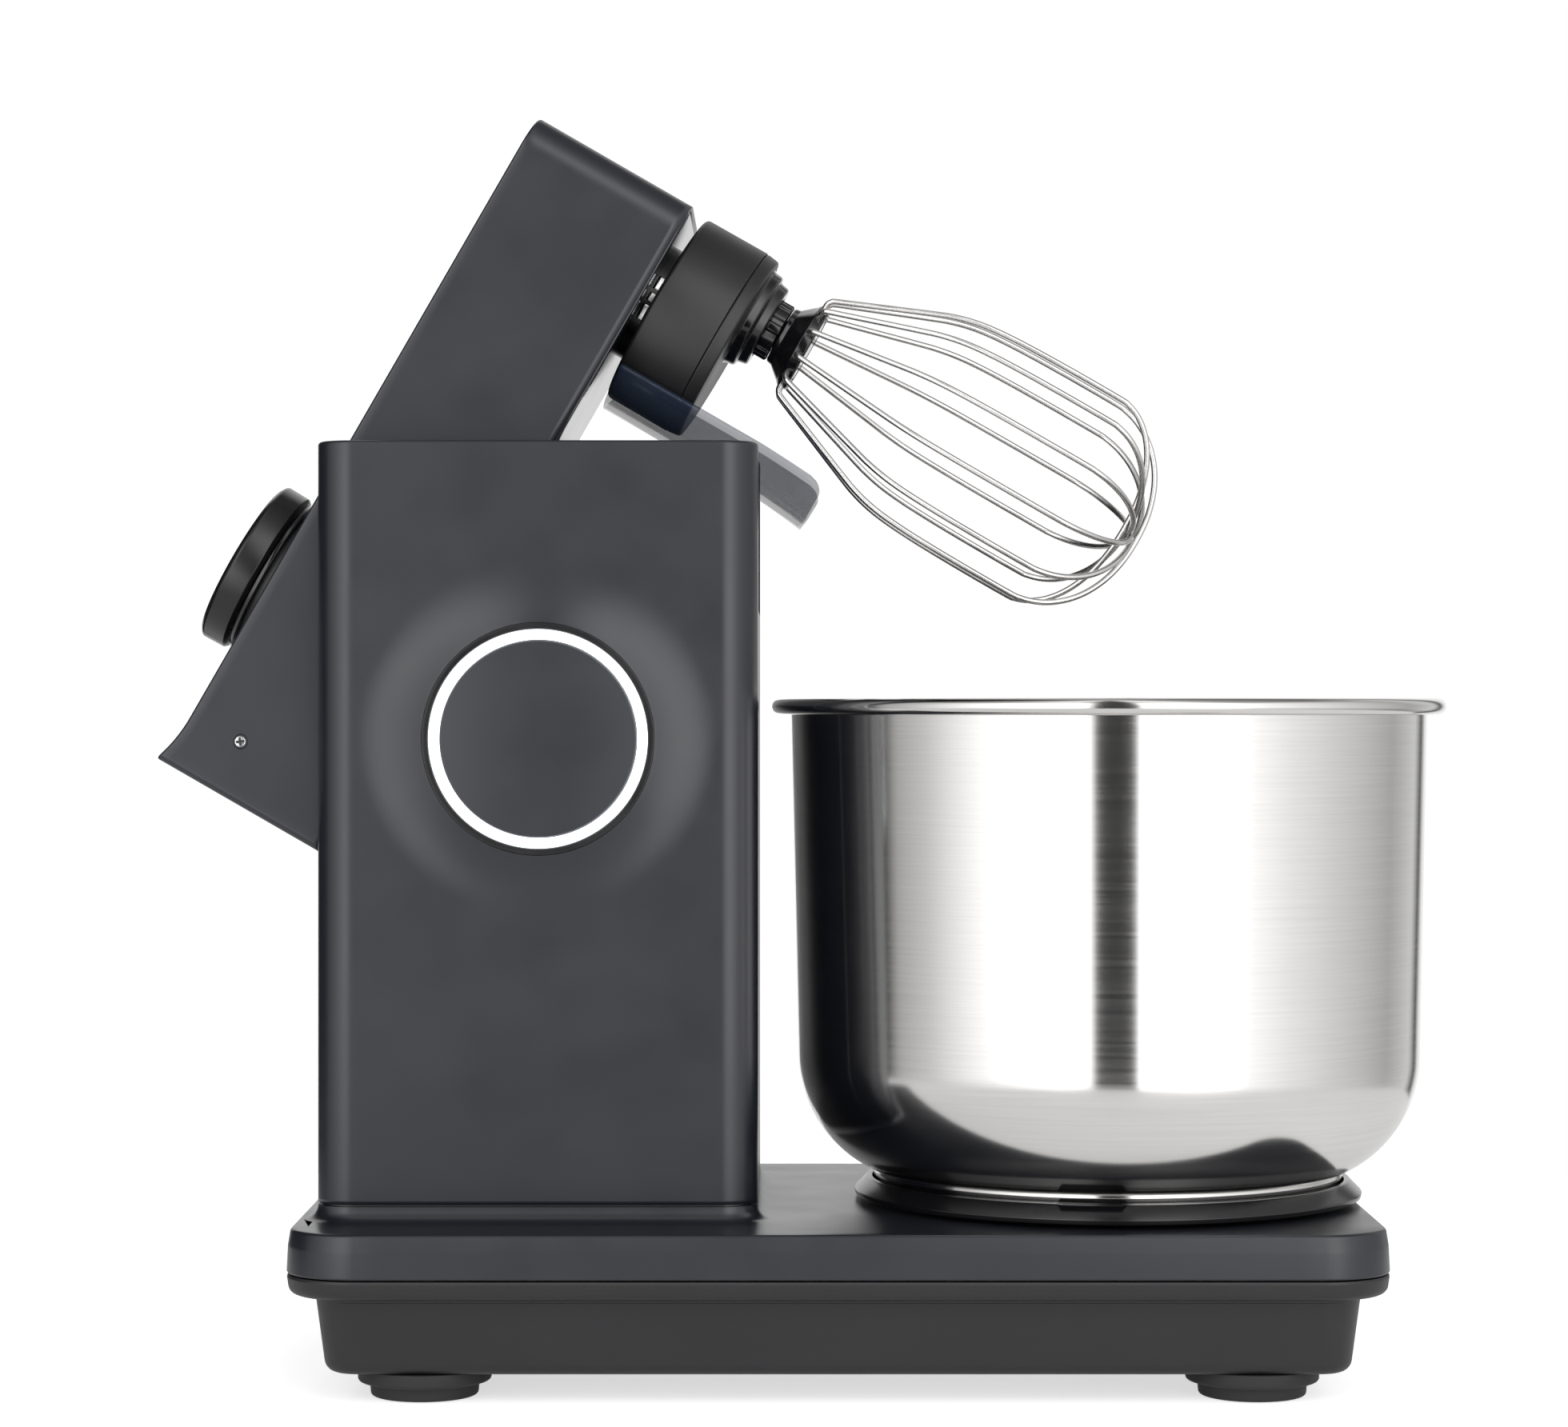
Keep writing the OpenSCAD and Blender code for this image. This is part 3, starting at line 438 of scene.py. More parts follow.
def buildFeet():
    low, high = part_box("rubber_feet")
    spec = feetSpec
    profile = fillet([(spec["hole"], 1.6), (spec["hole"], spec["sole"]),
                      (spec["tip"], spec["sole"], spec["edge"]), (spec["tip"] + 0.4, spec["step"], 0.6),
                      (spec["wide"], spec["step"], spec["edge"]), (spec["wide"], spec["top"], 0.4),
                      (12, spec["top"])])
    ring = revolve(profile, 72)
    feet = []
    for x in (low.x / mm + spec["wide"], high.x / mm - spec["wide"]):
        for y in (low.y / mm + spec["wide"], high.y / mm - spec["wide"]):
            feet.append(asIs(ring + np.array([x, y, 0])))
    piece = makePiece("rubberFeet", feet)
    settle(piece, "rubber", "base", "rubber", "rubber_feet")


buildBaseTop()
buildTub()
buildFeet()
print("base made")

# ---- seat and bowl ----
seatSpec = {"outer": 91.5, "low": 60.4, "high": 67.4, "inner": 85.0, "floor": 62.8, "hole": 14.0,
            "notches": 3, "turn": 22.0, "notchHalf": 7.0}


def buildSeat():
    s = seatSpec
    outer, low = s["outer"], s["low"]
    profile = fillet([(s["hole"], low), (outer - 3, low), (outer - 0.4, low + 0.6, 0.5),
                      (outer, low + 2.4, 0.8), (outer - 4.6, s["high"], 1.2), (s["inner"], s["high"], 0.4),
                      (s["inner"], s["floor"], 0.3), (s["hole"], s["floor"])])

    def notch(r, a, z):
        # three bayonet gaps: the inner lip steps out where the angle is inside a notch
        turned = a - math.radians(s["turn"])
        gap = np.cos(s["notches"] * turned) > math.cos(math.radians(s["notchHalf"] * s["notches"]))
        return np.where(gap & (z > s["floor"] + 0.5) & (r < s["inner"] + 1.5), r + 3.0, r)

    piece = makePiece("seatRing", onBowl(revolve(profile, 288, notch)), sharp=40)
    settle(piece, "seatPlastic", "seat", "tub_plastic", "seat_ring")


bowlSpec = {"rim": 121.4, "rimTop": 240.0, "bead": 2.9, "side": 114.6, "low": 112.0, "curve": 45.5,
            "bottom": 66.5, "wall": 1.2, "foot": 84.7, "footLow": 63.0}


def buildBowl():
    s = bowlSpec
    cx, cz = s["low"] - s["curve"], s["bottom"] + s["curve"]
    a = np.radians(np.linspace(-90, 0, 28))
    curve = np.stack([cx + s["curve"] * np.cos(a), cz + s["curve"] * np.sin(a)], -1)
    bead = np.radians(np.linspace(-150, 90, 22))
    beadPts = np.stack([s["rim"] - s["bead"] + s["bead"] * np.cos(bead),
                        s["rimTop"] - s["bead"] + s["bead"] * np.sin(bead)], -1)
    dots = np.stack([np.linspace(0, cx, 12, endpoint=False), np.full(12, s["bottom"])], -1)
    wall = np.linspace(0, 1, 30)[1:, None]
    top = np.array([s["side"], s["rimTop"] - 6.5])
    side = curve[-1] * (1 - wall) + top * wall
    neck = fillet([tuple(top), (s["side"] + 0.2, s["rimTop"] - 3.6, 2.0), tuple(beadPts[0])], 6)
    lip = fillet([tuple(beadPts[-1]), (s["side"] + 0.6, s["rimTop"] - 0.3, 3.0),
                  (s["side"] - s["wall"], s["rimTop"] - 7)], 8)
    inner = s["curve"] - s["wall"]
    b = a[::-1]
    inside = np.stack([cx + inner * np.cos(b), cz + inner * np.sin(b)], -1)
    innerDots = np.stack([np.linspace(cx, 0, 12), np.full(12, s["bottom"] + s["wall"])], -1)[1:]
    profile = np.concatenate([dots, curve, side, neck[1:-1], beadPts, lip[1:], inside, innerDots])
    piece = makePiece("mixingBowl", onBowl(revolve(profile, 224)), sharp=60)
    settle(piece, "bowlSteel", "bowl", "polished_steel", "bowl")
    footTop = cz - math.sqrt(s["curve"] ** 2 - (s["foot"] - cx) ** 2)
    foot, low = s["foot"], s["footLow"]
    ring = fillet([(foot - 1.3, footTop - 0.4), (foot - 0.1, footTop + 0.2, 0.3), (foot, footTop - 1.0, 0.4),
                   (foot - 0.5, footTop - 2.6, 1.0), (foot - 0.5, low + 1.6, 0.6), (foot, low + 0.7, 0.5),
                   (foot - 0.7, low, 0.6), (foot - 3.0, low + 0.1, 0.4), (foot - 3.0, low + 1.2, 0.4),
                   (foot - 1.7, low + 1.6, 0.5), (foot - 1.5, footTop - 0.8)])
    piece = makePiece("bowlFoot", onBowl(revolve(ring, 224)), wrapRows=True)
    settle(piece, "bowlSteel", "bowl", "polished_steel", "bowl_foot")


buildSeat()
buildBowl()
print("bowl made")

# ---- column ----
columnSpec = {"half": 70.0, "corner": 12.5, "seam": 65.3, "edge": 1.3, "slot": 45.3, "rearSill": 178.0,
              "frontSill": 271.6, "wall": 2.8, "bossRise": 5.0, "bossStart": 62.5, "bossEnd": 39.4,
              "opening": 38.4, "sink": 3.5}


def cheekOutline(side):
    # half of the column's outline, from the slot's front edge round to its rear edge
    s = columnSpec
    x0, x1, half, r = columnLow.x / mm, columnHigh.x / mm, s["half"], s["corner"]
    n = 110
    front = np.stack([np.full(8, x1), np.linspace(s["slot"], half - r, 8, endpoint=False)], -1)
    a = np.radians(np.linspace(0, 90, 14, endpoint=False))
    c1 = np.stack([x1 - r + r * np.cos(a), half - r + r * np.sin(a)], -1)
    flat = np.stack([np.linspace(x1 - r, x0 + r, n, endpoint=False), np.full(n, half)], -1)
    c2 = np.stack([x0 + r + r * np.cos(a + np.pi / 2), half - r + r * np.sin(a + np.pi / 2)], -1)
    rear = np.stack([np.full(9, x0), np.linspace(half - r, s["slot"], 9)], -1)
    pts = np.concatenate([front, c1, flat, c2, rear])
    nrm = np.concatenate([np.repeat([[1.0, 0]], 8, 0), np.stack([np.cos(a), np.sin(a)], -1),
                          np.repeat([[0, 1.0]], n, 0), np.stack([-np.sin(a), np.cos(a)], -1),
                          np.repeat([[-1.0, 0]], 9, 0)])
    return pts * [1, side], nrm * [1, side]


def bossOut(x, z):
    # the side swells towards the light as a parabola of the distance left to go
    s = columnSpec
    r = np.hypot(x - pivot[0] / mm, z - pivot[2] / mm)
    k = np.clip((s["bossStart"] - r) / (s["bossStart"] - s["bossEnd"]), 0, 1)
    return np.where(r < s["opening"], -s["sink"], s["bossRise"] * k ** 2)


def buildColumn():
    s = columnSpec
    high = columnHigh.z / mm
    grids = []
    for side in (-1, 1):
        pts, nrm = cheekOutline(side)
        rows = 190
        z = np.linspace(s["seam"], high - s["edge"], rows)
        wall = np.concatenate([np.broadcast_to(pts, (rows,) + pts.shape),
                               np.broadcast_to(z[:, None, None], (rows, len(pts), 1))], -1).copy()
        if side < 0:
            flat = np.abs(wall[..., 1] + s["half"]) < 1e-6
            wall[..., 1] -= np.where(flat, bossOut(wall[..., 0], wall[..., 2]), 0)
        t = np.linspace(0, np.pi / 2, 6)[1:, None, None]
        edgeZ = high - s["edge"] + s["edge"] * np.sin(t)
        edge = np.concatenate([pts[None] - nrm[None] * s["edge"] * (1 - np.cos(t)),
                               np.broadcast_to(edgeZ, (5, len(pts), 1))], -1)
        along = np.concatenate([[0], np.cumsum(np.linalg.norm(np.diff(pts, axis=0), axis=1))])
        share = (along / along[-1])[:, None]
        inner = np.concatenate([edge[-1][:1, :1] * (1 - share) + edge[-1][-1:, :1] * share,
                                np.full((len(pts), 1), side * s["slot"]), np.full((len(pts), 1), high)], -1)
        k = np.linspace(0, 1, 5)[1:, None, None]
        cap = edge[-1][None] * (1 - k) + inner[None] * k
        lip = inner - [0, 0, s["wall"]]
        grids.append(asIs(np.concatenate([wall, edge, cap, lip[None]])))
    cheeks = makePiece("columnCheeks", grids, wrapCols=False, sharp=40)
    thicken(cheeks, s["wall"])
    settle(cheeks, "bodyPaint", "base", "body_paint", "column_shell")
    x0, x1 = columnLow.x / mm, columnHigh.x / mm
    sills = []
    for x, sill, turn in ((x0, s["rearSill"], 1), (x1, s["frontSill"], -1)):
        y = np.linspace(-s["slot"], s["slot"], 24)
        curl = np.linspace(0.2, 1.57, 5)
        z = np.concatenate([np.linspace(s["seam"], sill - 1.0, 24), sill - 1 + np.sin(curl)])
        back = np.concatenate([np.zeros(24), 1 - np.cos(curl)])
        zz, yy = np.meshgrid(z, y, indexing="ij")
        xx = np.broadcast_to((x + turn * back)[:, None], zz.shape)
        panel = np.stack([xx, yy, zz], -1)
        ledge = panel[-1] + np.array([turn * 2.0, 0, 0])
        sills.append(asIs(np.concatenate([panel, ledge[None], (ledge - [0, 0, 3])[None]])))
    for name, grid in zip(("columnRearPanel", "columnFrontPanel"), sills):
        panel = makePiece(name, grid, wrapCols=False, sharp=40)
        settle(panel, "bodyPaint", "base", "body_paint")


ringSpec = {"face": 75.0, "bezel": 40.2, "light": 37.6, "inner": 34.2, "button": 33.9,
            "depth": 4.0}


def buildRing():
    s = ringSpec
    f = s["face"]
    back = f - s["depth"]
    bezel = fillet([(s["light"] + 0.1, back), (s["light"] + 0.1, f - 0.3, 0.2),
                    (s["light"] + 0.4, f + 0.15, 0.2), (s["bezel"] - 0.3, f + 0.15, 0.3),
                    (s["bezel"], f - 0.4, 0.3), (s["bezel"], back)])
    piece = makePiece("ringBezel", onSide(revolve(bezel, 192)), wrapRows=True)
    settle(piece, "blackSatin", "base", "black_satin", "ring_bezel")
    light = fillet([(s["inner"], back), (s["inner"], f - 0.5, 0.5), (s["light"], f - 0.5, 0.5),
                    (s["light"], back)])
    piece = makePiece("lightRing", onSide(revolve(light, 192)), wrapRows=True)
    settle(piece, "litRing", "base", "light", "light_ring")
    button = fillet([(0, f - 0.6), (s["button"], f - 0.6, 0.6), (s["button"], f - 3.6, 0.3), (0, f - 3.6)])
    piece = makePiece("releaseButton", onSide(revolve(button, 128)), sharp=45)
    settle(piece, "bodyPaint", "button", "body_paint", "release_button")


buildColumn()
buildRing()
print("column made")

# ---- head ----
headSpec = {"behind": -74.2, "ahead": 189.0, "half": 44.0, "low": 48.1, "high": 111.3, "corner": 12.0,
            "tailCorner": 2.6, "plate": 2.5, "edge": 1.2, "rise": 3.2, "run": 18.0, "wall": 2.4}


def headTop(x):
    s = headSpec
    k = np.clip((s["behind"] + s["run"] - x) / s["run"], 0, 1)
    return s["high"] + s["rise"] * k ** 2


def buildHead():
    s = headSpec
    pts, nrm = roundOutline(s["behind"], s["ahead"], s["half"], s["corner"], sideSteps=90, cornerSteps=12,
                            endSteps=12, rearR=s["tailCorner"])
    low = s["low"] + 0.6
    rows = np.linspace(0, 1, 24)[:, None]
    top = headTop(pts[:, 0])[None] - s["edge"]
    z = low + (top - low) * rows
    wall = np.concatenate([np.broadcast_to(pts, (24,) + pts.shape), z[..., None]], -1)
    t = np.linspace(0, np.pi / 2, 6)[1:, None]
    edgeXY = pts[None] - nrm[None] * (s["edge"] * (1 - np.cos(t)))[..., None]
    edgeZ = headTop(edgeXY[..., 0]) - s["edge"] + s["edge"] * np.sin(t)
    edge = np.concatenate([edgeXY, edgeZ[..., None]], -1)
    # the cap shrinks to the head's middle line, each point keeping its share of the way along
    span = (pts[:, 0] - s["behind"]) / (s["ahead"] - s["behind"])
    midX = s["behind"] + 6 + (s["ahead"] - s["behind"] - 12) * span
    k = np.linspace(0, 1, 12)[1:, None, None]
    mid = np.stack([midX, np.zeros_like(midX)], -1)
    capXY = edgeXY[-1][None] * (1 - k) + mid[None] * k
    cap = np.concatenate([capXY, headTop(capXY[..., 0])[..., None]], -1)
    piece = makePiece("headShell", onHead(np.concatenate([wall, edge, cap])), sharp=50)
    thicken(piece, s["wall"])
    settle(piece, "bodyPaint", "head", "body_paint", "head_shell")
    inset = s["wall"] + 0.15
    outline = roundOutline(s["behind"] + inset, s["ahead"] - inset, s["half"] - inset, s["corner"] - inset,
                           sideSteps=30, cornerSteps=12, endSteps=8, rearR=0.6)
    plate = fillet([(0.2, s["low"] + s["plate"]), (0.0, s["low"] + 0.8, 0.2), (0.3, s["low"], 0.3),
                    (6.0, s["low"])])
    piece = makePiece("headUnderside", onHead(loft(outline, plate)), caps=(False, True), sharp=50)
    settle(piece, "glossPaint", "head", "tub_plastic", "head_underside")


screwSpec = {"x": -54.3, "z": 91.6, "r": 2.15, "recess": 2.9, "cross": 1.55, "slot": 0.42, "rodDepth": 0.34}


def buildHeadScrews():
    # a domed head with a dip where a point is near one of the two arms of the cross
    s = screwSpec
    r = np.concatenate([np.linspace(0, s["r"], 26), [s["r"]]])
    a = np.linspace(0, 2 * np.pi, 96, endpoint=False)
    rr, aa = np.meshgrid(r, a, indexing="ij")
    x, y = rr * np.cos(aa), rr * np.sin(aa)
    arm = np.minimum(np.abs(x * 0.8 + y * 0.6), np.abs(x * 0.6 - y * 0.8))
    dip = np.clip((s["slot"] - arm) / 0.15, 0, 1) * np.clip((s["cross"] - rr) / 0.2, 0, 1)
    out = 0.1 - 0.2 * (rr / s["r"]) ** 4 - 0.6 * dip
    out[-1] = -1.0
    screws = []
    for side in (-1, 1):
        pts = np.stack([s["x"] + x, side * (headSpec["half"] + out), s["z"] + y], -1)
        screws.append(onHead(pts))
    piece = makePiece("headScrews", screws, sharp=40)
    settle(piece, "groundSteel", "head", "black_satin", "head_screws")
    ring = fillet([(s["r"] - 0.1, -0.8), (s["r"] + 0.1, 0.03, 0.1), (s["recess"] - 0.1, 0.03, 0.1),
                   (s["recess"], -0.6)])
    # a dark rod lies in each arm of the cross: painted shade on the floor of the recess
    rods = []
    for side in (-1, 1):
        for dx, dz in ((0.8, 0.6), (0.6, -0.8)):
            t = np.linspace(-s["cross"], s["cross"], 9)[:, None]
            at = np.array([s["x"], side * (headSpec["half"] - s["rodDepth"]), s["z"]])
            rods.append(onHead(sweep(at + t * np.array([dx, 0, dz]), s["slot"] * 0.85, 12)))
    slotShade = makePiece("screwSlots", rods, caps=(True, True), sharp=60)
    settle(slotShade, "blackSatin", "head", "black_satin")
    collars = []
    for side in (-1, 1):
        g = revolve(ring, 64)
        pts = np.stack([s["x"] + g[..., 0], side * (headSpec["half"] + g[..., 2]), s["z"] + g[..., 1]], -1)
        collars.append(onHead(pts))
    piece = makePiece("screwRecess", collars, sharp=40)
    settle(piece, "blackGloss", "head", "black_satin")


knobSpec = {"r": 31.0, "low": 117.7, "high": 128.7, "dish": 0.5}


def buildKnob():
    s = knobSpec
    r, low, high = s["r"], s["low"], s["high"]
    skirt = fillet([(4, low), (r - 1.4, low, 0.4), (r - 0.2, low + 1.1, 0.8), (r, high - 1.5, 1.5),
                    (r - 2.2, high, 1.5), (r - 4.5, high - 0.25, 0.8), (r - 6.0, high - s["dish"], 1.0),
                    (0, high - s["dish"])], 8)
    piece = makePiece("speedKnob", onHead(revolve(skirt, 160)), sharp=40)
    settle(piece, "blackSatin", "speed_knob", "black_satin", "knob")
    ring = fillet([(24.5, 115.6), (24.5, 117.2, 0.2), (29.3, 117.2, 0.5), (29.5, 115.6, 0.3), (28.8, 115.45)])
    piece = makePiece("knobRing", onHead(revolve(ring, 128)), wrapRows=True)
    settle(piece, "blackGloss", "head", "polished_steel", "knob_ring")
    plinth = fillet([(20, 111.35), (28.2, 111.35, 0.3), (27.4, 113.0, 1.0), (27.0, 115.5, 0.2), (20, 115.5)])
    piece = makePiece("knobPlinth", onHead(revolve(plinth, 128)), sharp=40)
    settle(piece, "sparkBlack", "head", "black_satin", "knob_plinth")


buildHead()
buildHeadScrews()
buildKnob()
print("head made")

# ---- planetary ----
driveSpec = {"axis": 154.0, "orbit": 14.0, "r": 36.9, "top": 44.3, "low": 18.8, "lid": 13.9, "bore": 22.9}


def atDrive(grid, offset=0.0):
    return onHead(grid + np.array([driveSpec["axis"] + offset, 0, 0]))


def buildPlanetary():
    s = driveSpec
    r, top, low, under = s["r"], s["top"], s["low"], s["lid"]
    housing = fillet([(s["bore"], top - 3), (s["bore"], top, 0.5), (r - 0.2, top, 1.6), (r, low + 0.35, 0.3),
                      (r - 1.6, low + 0.35), (r - 1.6, low - 0.5)], 8)
    piece = makePiece("planetaryHousing", atDrive(revolve(housing, 160)), sharp=45)
    settle(piece, "sparkBlack", "planetary", "textured_black", "carrier_housing")
    lid = fillet([(r - 2.5, low + 1), (r - 0.35, low, 0.2), (r - 0.2, low - 0.5, 0.2),
                  (r - 0.8, under + 0.2, 1.2), (r - 2.5, under, 0.8), (0, under)], 6)
    piece = makePiece("planetaryLid", atDrive(revolve(lid, 160)), sharp=45)
    settle(piece, "sparkBlack", "planetary", "textured_black", "carrier_lid")
    collar = fillet([(10, under + 0.6), (19.8, under + 0.6), (18.6, under - 0.6, 1.2), (18.2, 10.0, 1.3),
                     (16.2, 9.5, 0.8), (15.6, 6.4, 0.9), (14.9, 5.9, 0.5), (12.0, 5.9, 0.3), (11.6, 7.4, 0.3),
                     (8, 7.4)], 6)
    piece = makePiece("shaftCollar", atDrive(revolve(collar, 128), s["orbit"]), sharp=45)
    settle(piece, "blackGloss", "planetary", "black_gloss", "shaft_collar")


neckSpec = {"r": 22.36, "low": 44.7, "high": 47.7, "thick": 0.3,
            "arcs": [(-112, -96), (-92, -84), (-80, -66)]}


def buildNeckPlates():
    # bright steel pads let into the neck's side, in the gap between the head and the housing
    s = neckSpec
    pads = []
    for a0, a1 in s["arcs"]:
        a = np.radians(np.linspace(a0, a1, 12))[None, :]
        z = np.linspace(s["low"], s["high"], 4)[:, None]
        pads.append(atDrive(np.stack(np.broadcast_arrays(s["r"] * np.cos(a), s["r"] * np.sin(a), z), -1)))
    piece = makePiece("neckPads", pads, wrapCols=False)
    thicken(piece, s["thick"])
    settle(piece, "groundSteel", "head", "shaft_steel")


splineSpec = {"r": 11.1, "top": 7.2, "low": 0.9, "count": 12, "depth": 0.9, "plug": 5.6}


def buildSpline():
    s = splineSpec

    def flutes(r, a, z):
        # square-shouldered splines: a steep S-curve of the cosine decides rib or groove
        rib = 1 / (1 + np.exp(-9 * (np.cos(s["count"] * a) + 0.25)))
        return np.where(r > 8.5, r - s["depth"] * (1 - rib), r)

    profile = fillet([(0, s["top"]), (s["r"] - 0.4, s["top"], 0.3), (s["r"], s["top"] - 0.6, 0.3),
                      (s["r"], s["low"] + 0.5, 0.3), (s["r"] - 0.8, s["low"], 0.4),
                      (s["plug"], s["low"], 0.2), (s["plug"], -8.5, 0.4), (0, -9.0)], 4)
    piece = makePiece("whiskShaft", atDrive(revolve(profile, 240, flutes), driveSpec["orbit"]), sharp=50)
    settle(piece, "blackGloss", "spindle", "black_gloss", "whisk_shaft")


shieldSpec = {"inner": 36.95, "thick": 2.2, "half": 50.0, "top": 43.0, "bend": -14.0, "low": -41.0,
              "flare": 4.4, "corner": 6.0}


def buildShield():
    # a curved sheet: height and angle span it, and its lower corners are rounded off
    s = shieldSpec
    v = np.linspace(0, 1, 64)[:, None]
    u = np.linspace(-1, 1, 96)[None, :]
    widest = math.radians(s["half"])
    arc = s["inner"] * widest
    inCorner = np.clip((np.abs(u) * arc - (arc - s["corner"])) / s["corner"], 0, 1)
    lowHere = s["low"] + s["corner"] * (1 - np.sqrt(np.clip(1 - inCorner ** 2, 0, 1)))
    z = s["top"] + (lowHere - s["top"]) * v
    k = np.clip((s["bend"] - z) / (s["bend"] - s["low"]), 0, 1)
    r = s["inner"] + s["thick"] + s["flare"] * (0.55 * k + 0.45 * k ** 2) * 0.6
    a = np.pi + u * widest + 0 * z
    grid = np.stack([r * np.cos(a), r * np.sin(a), z], -1)
    piece = makePiece("splashShield", atDrive(grid), wrapCols=False, sharp=60)
    thicken(piece, s["thick"])
    settle(piece, "smokedClear", "planetary", "smoked_clear", "splash_shield")


hubSpec = {"top": 0.6, "low": -11.1, "neck": 10.8, "rim": 16.3, "bore": 5.7, "flats": 6}


def buildHub():
    s = hubSpec

    def facets(r, a, z):
        # six shallow flats on the cone, fading out at the disc
        k = np.clip((z - (s["low"] + 4.6)) / 1.5, 0, 1) * np.clip((r - 6) / 2, 0, 1)
        wave = np.cos(s["flats"] * a)
        return r * (1 - 0.045 * k * (0.5 - 0.5 * wave) ** 2)

    neck, rim, top, low = s["neck"], s["rim"], s["top"], s["low"]
    profile = fillet([(s["bore"], top - 6), (s["bore"], top, 0.4), (neck, top, 0.7),
                      (neck + 0.4, top - 2, 1.2), (rim - 1.0, low + 5.0, 2.0), (rim + 0.2, low + 3.9, 0.4),
                      (rim + 0.2, low + 0.5, 0.5),
                      (rim - 0.6, low, 0.4), (rim - 2.6, low, 0.2), (rim - 3.0, low + 0.9, 0.3),
                      (rim - 4.4, low + 0.9, 0.3), (rim - 4.8, low + 0.1, 0.3), (0, low - 0.1)], 5)
    piece = makePiece("whiskHub", atDrive(revolve(profile, 192, facets), driveSpec["orbit"]), sharp=50)
    settle(piece, "blackGloss", "whisk", "black_gloss", "whisk_hub")


whiskSpec = {"wire": 1.1, "loops": 6, "cage": 41.6, "start": -8.6, "shoulder": -54.0, "straight": -117.1,
             "tip": -147.0, "turn": 15.0, "weave": 2.3, "layer": 1.2}


def buildWhisk():
    # each loop leaves the hub, opens to the cage, runs straight and closes in an ellipse at the tip
    s = whiskSpec
    wires = []
    for i in range(s["loops"]):
        tip = s["tip"] + s["layer"] * (i - 1)
        start = [(12.0, s["start"]), (17.6, s["start"]), (19.6, s["start"] - 0.9), (20.7, s["start"] - 2.6)]
        lean = (34.6 - 20.7) / (s["start"] - 2.6 - (s["shoulder"] + 10))
        bend, cage = s["shoulder"], s["cage"]
        shoulder = [(20.7 + lean * 9, s["start"] - 11.6), (34.6, bend + 10), (37.3, bend + 3),
                    (39.2, bend - 4), (40.4, bend - 12), (cage - 0.4, bend - 24), (cage, bend - 42)]
        ang = np.radians(np.arange(0, 90, 9))
        drop = tip - s["straight"]
        end = np.stack([cage * np.cos(ang) ** 0.92, s["straight"] + drop * np.sin(ang)], -1)
        half = np.concatenate([start, shoulder, end])
        lateral = s["weave"] * (1 if i % 2 else -1) * np.exp(-(half[:, 0] / 5.5) ** 2)
        side = np.stack([half[:, 0], lateral, half[:, 1]], -1)
        knot = np.array([[0.0, lateral[-1] * 1.15, tip]])
        path = np.concatenate([side, knot, side[::-1] * [-1, 1, 1]])
        fine = smoothPath(path, 7)
        a = math.radians(s["turn"] + 180 / s["loops"] * i)
        turn = np.array([[math.cos(a), -math.sin(a), 0], [math.sin(a), math.cos(a), 0], [0, 0, 1]])
        wires.append(atDrive(sweep(fine @ turn.T, s["wire"], 12), driveSpec["orbit"]))
    piece = makePiece("whiskWires", wires, caps=(True, True), sharp=60)
    settle(piece, "wireSteel", "whisk", "polished_steel", "whisk_wires")


buildPlanetary()
buildNeckPlates()
buildSpline()
buildShield()
buildHub()
buildWhisk()
print("planetary and whisk made")

# ---- finishes of the pieces that stay as the frame has them ----
keptFinishes = {
    "castZinc": ["foot_screws", "base_screws", "chassis_plate", "hinge_plates", "hinge_arm", "gear_plate",
                 "ring_gear", "motor_can", "button_guide"],
    "blackSatin": ["neck"],
    "bronze": ["seat_bearing", "hinge_bushes"],
    "groundSteel": ["seat_spindle", "seat_clip", "hinge_axle", "counter_spring", "button_spring",
                    "latch_pin", "knob_spindle", "motor_rotor", "motor_pinion", "output_wheel",
                    "drive_shaft", "upper_bearing", "lower_bearing", "lid_screws", "planet_bearing",
                    "planet_gear"],
    "tubPlastic": ["slot_liner", "cord_gland"],
    "board": ["lamp_board", "control_board", "knob_control"],
    "nylon": ["reduction_gear"],
}
for finish, nodes in keptFinishes.items():
    for node in nodes:
        kept = frame["nodes"][node]
        kept.data.materials.clear()
        kept.data.materials.append(finishes[finish])

# ---- floor and room ----
# brightness of the room round the object, by azimuth in degrees from the camera's side, left
# negative: two tall soft boxes with a dark gap between them, dark walls and a white backdrop
roomSpec = {"walls": [(-180, 1.1), (-158, 1.05), (-150, 0.02), (-92, 0.02), (-86, 0.5), (-72, 0.75),
                      (-48, 1.5), (-28, 2.5), (-20, 2.9), (-10.5, 2.0), (-8.5, 0.03), (5.5, 0.03),
                      (7.5, 2.6), (28, 3.0),
                      (48, 1.4), (64, 1.1), (84, 0.85), (118, 0.5), (140, 0.75), (149, 0.05), (157, 0.9),
                      (180, 1.1)],
            "heights": [(-90, 0.55), (-24, 0.6), (-13, 1.0), (38, 1.0), (52, 0.35), (90, 0.5)],
            "floorGlow": 0.42, "floorShine": 0.22, "floorRadius": 0.62}


def ranged(stops, low, high):
    return [((a - low) / (high - low), grey(v)) for a, v in stops]


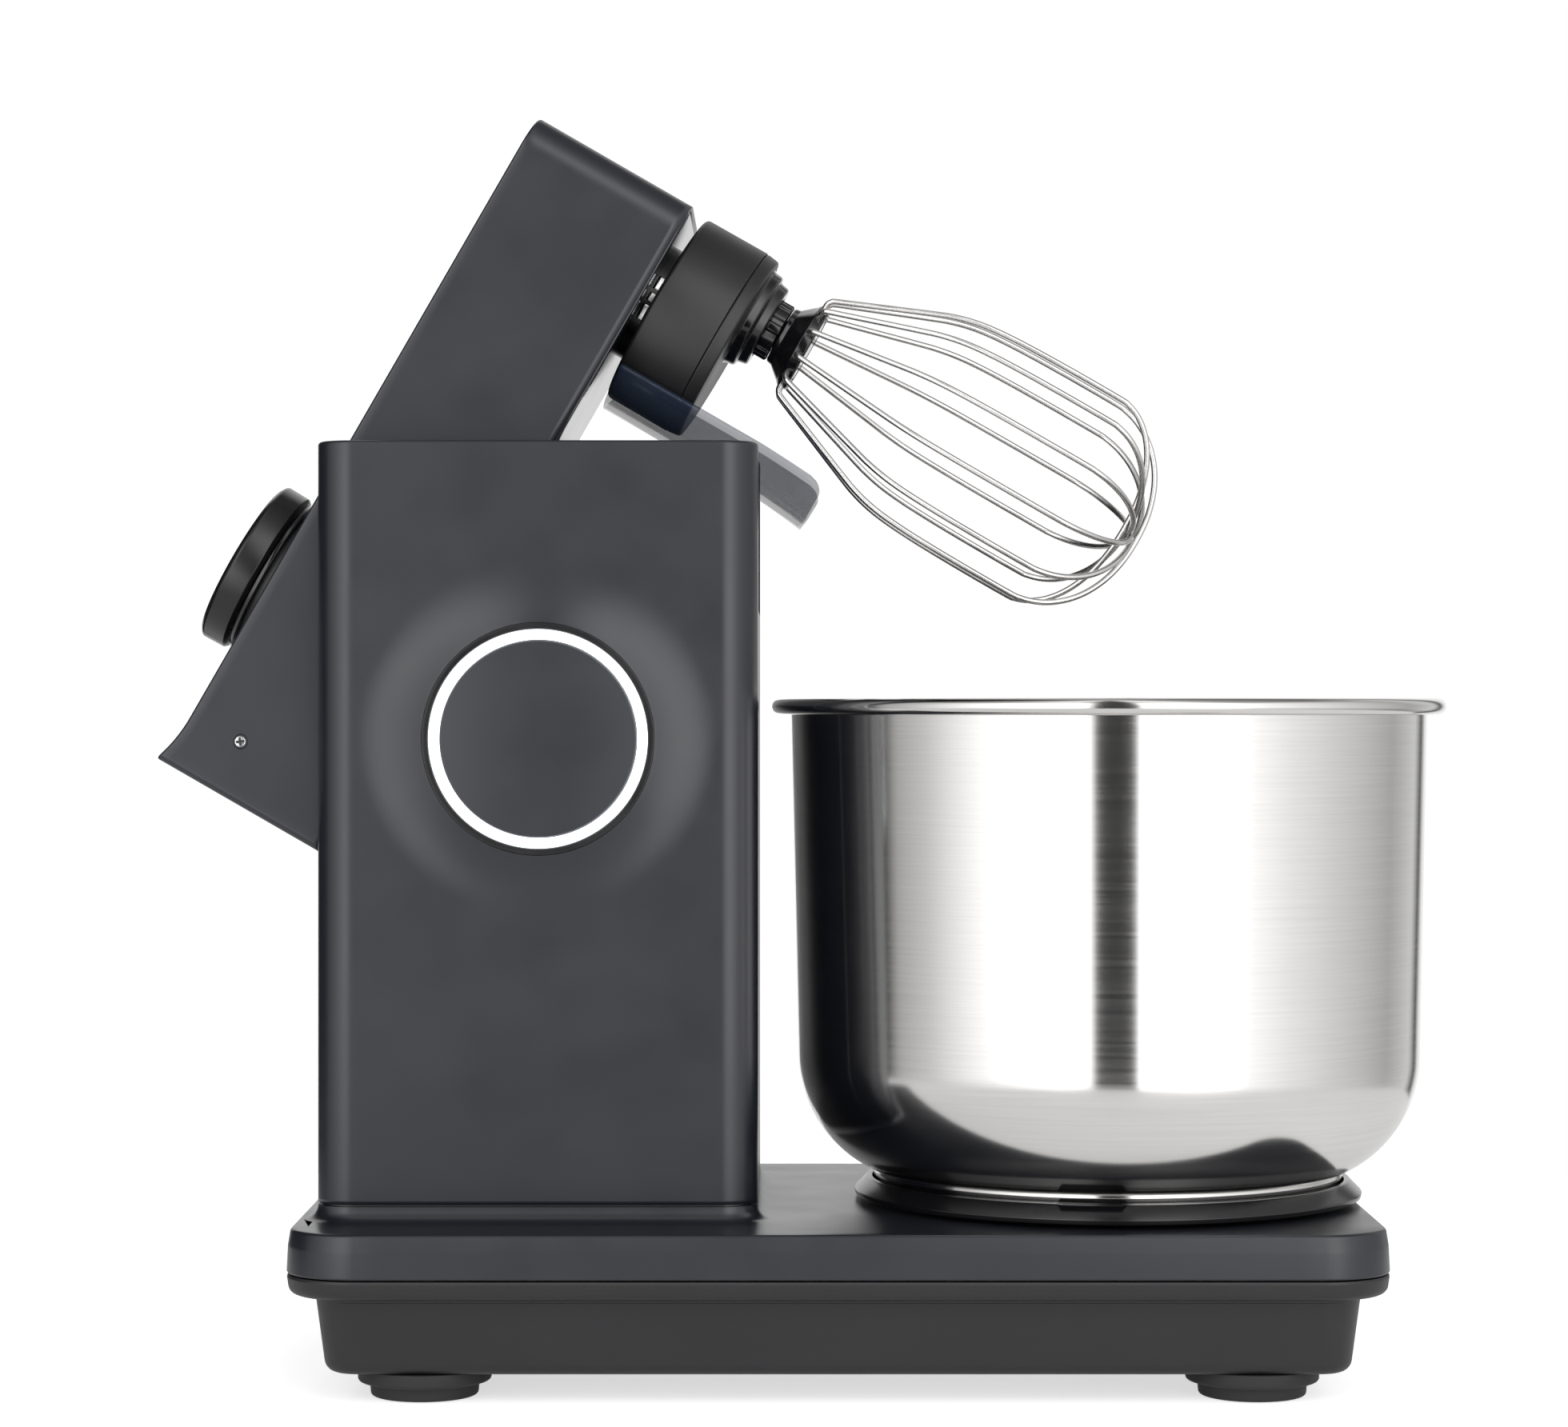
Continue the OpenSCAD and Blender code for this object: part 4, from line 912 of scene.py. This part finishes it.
def buildFloor():
    rim = roomSpec["floorRadius"] / mm
    floor = makePiece("floor", asIs(revolve(np.array([[0.0, 0.0], [rim * 0.5, 0.0], [rim, 0.0]]), 96)))
    mat, nodes, links, shader = shaderBase("floorWhite", (0.9, 0.9, 0.9), 0.7)
    cloud = objectNoise(nodes, links, 2.0)
    links.new(ramp(nodes, links, cloud.outputs["Fac"], [(0.3, grey(0.89)), (0.7, grey(0.91))]),
              shader.inputs["Base Color"])
    path = nodes.new("ShaderNodeLightPath")
    glow = nodes.new("ShaderNodeMath")
    glow.operation = "MULTIPLY_ADD"
    glow.inputs[1].default_value = roomSpec["floorGlow"]
    glow.inputs[2].default_value = roomSpec["floorShine"]
    links.new(path.outputs["Is Camera Ray"], glow.inputs[0])
    links.new(glow.outputs[0], shader.inputs["Emission Strength"])
    shader.inputs["Emission Color"].default_value = (1, 1, 1, 1)
    floor.data.materials.append(mat)
    floor.location.z = -0.0002


def buildRoom():
    world = bpy.data.worlds.new("studio")
    bpy.context.scene.world = world
    world.use_nodes = True
    nodes, links = world.node_tree.nodes, world.node_tree.links
    back = nodes["Background"]

    def worked(operation, a, b=None):
        node = nodes.new("ShaderNodeMath")
        node.operation = operation
        for socket, value in zip(node.inputs, (a, b)):
            if isinstance(value, (int, float)):
                socket.default_value = value
            elif value is not None:
                links.new(value, socket)
        return node.outputs[0]

    coords = nodes.new("ShaderNodeTexCoord")
    split = nodes.new("ShaderNodeSeparateXYZ")
    links.new(coords.outputs["Generated"], split.inputs["Vector"])
    x, y, z = split.outputs
    azimuth = worked("ARCTAN2", x, worked("MULTIPLY", y, -1.0))
    turn = worked("ADD", worked("DIVIDE", azimuth, 2 * math.pi), 0.5)
    rise = worked("ADD", worked("DIVIDE", worked("ARCSINE", z), math.pi), 0.5)
    walls = ramp(nodes, links, turn, ranged(roomSpec["walls"], -180, 180))
    heights = ramp(nodes, links, rise, ranged(roomSpec["heights"], -90, 90))
    both = worked("MULTIPLY", walls, heights)
    path = nodes.new("ShaderNodeLightPath")
    # the camera sees plain white, and everything else sees the room
    links.new(worked("MAXIMUM", both, path.outputs["Is Camera Ray"]), back.inputs["Color"])


buildFloor()
buildRoom()
bpy.context.scene.view_settings.view_transform = "Standard"
print("room made")
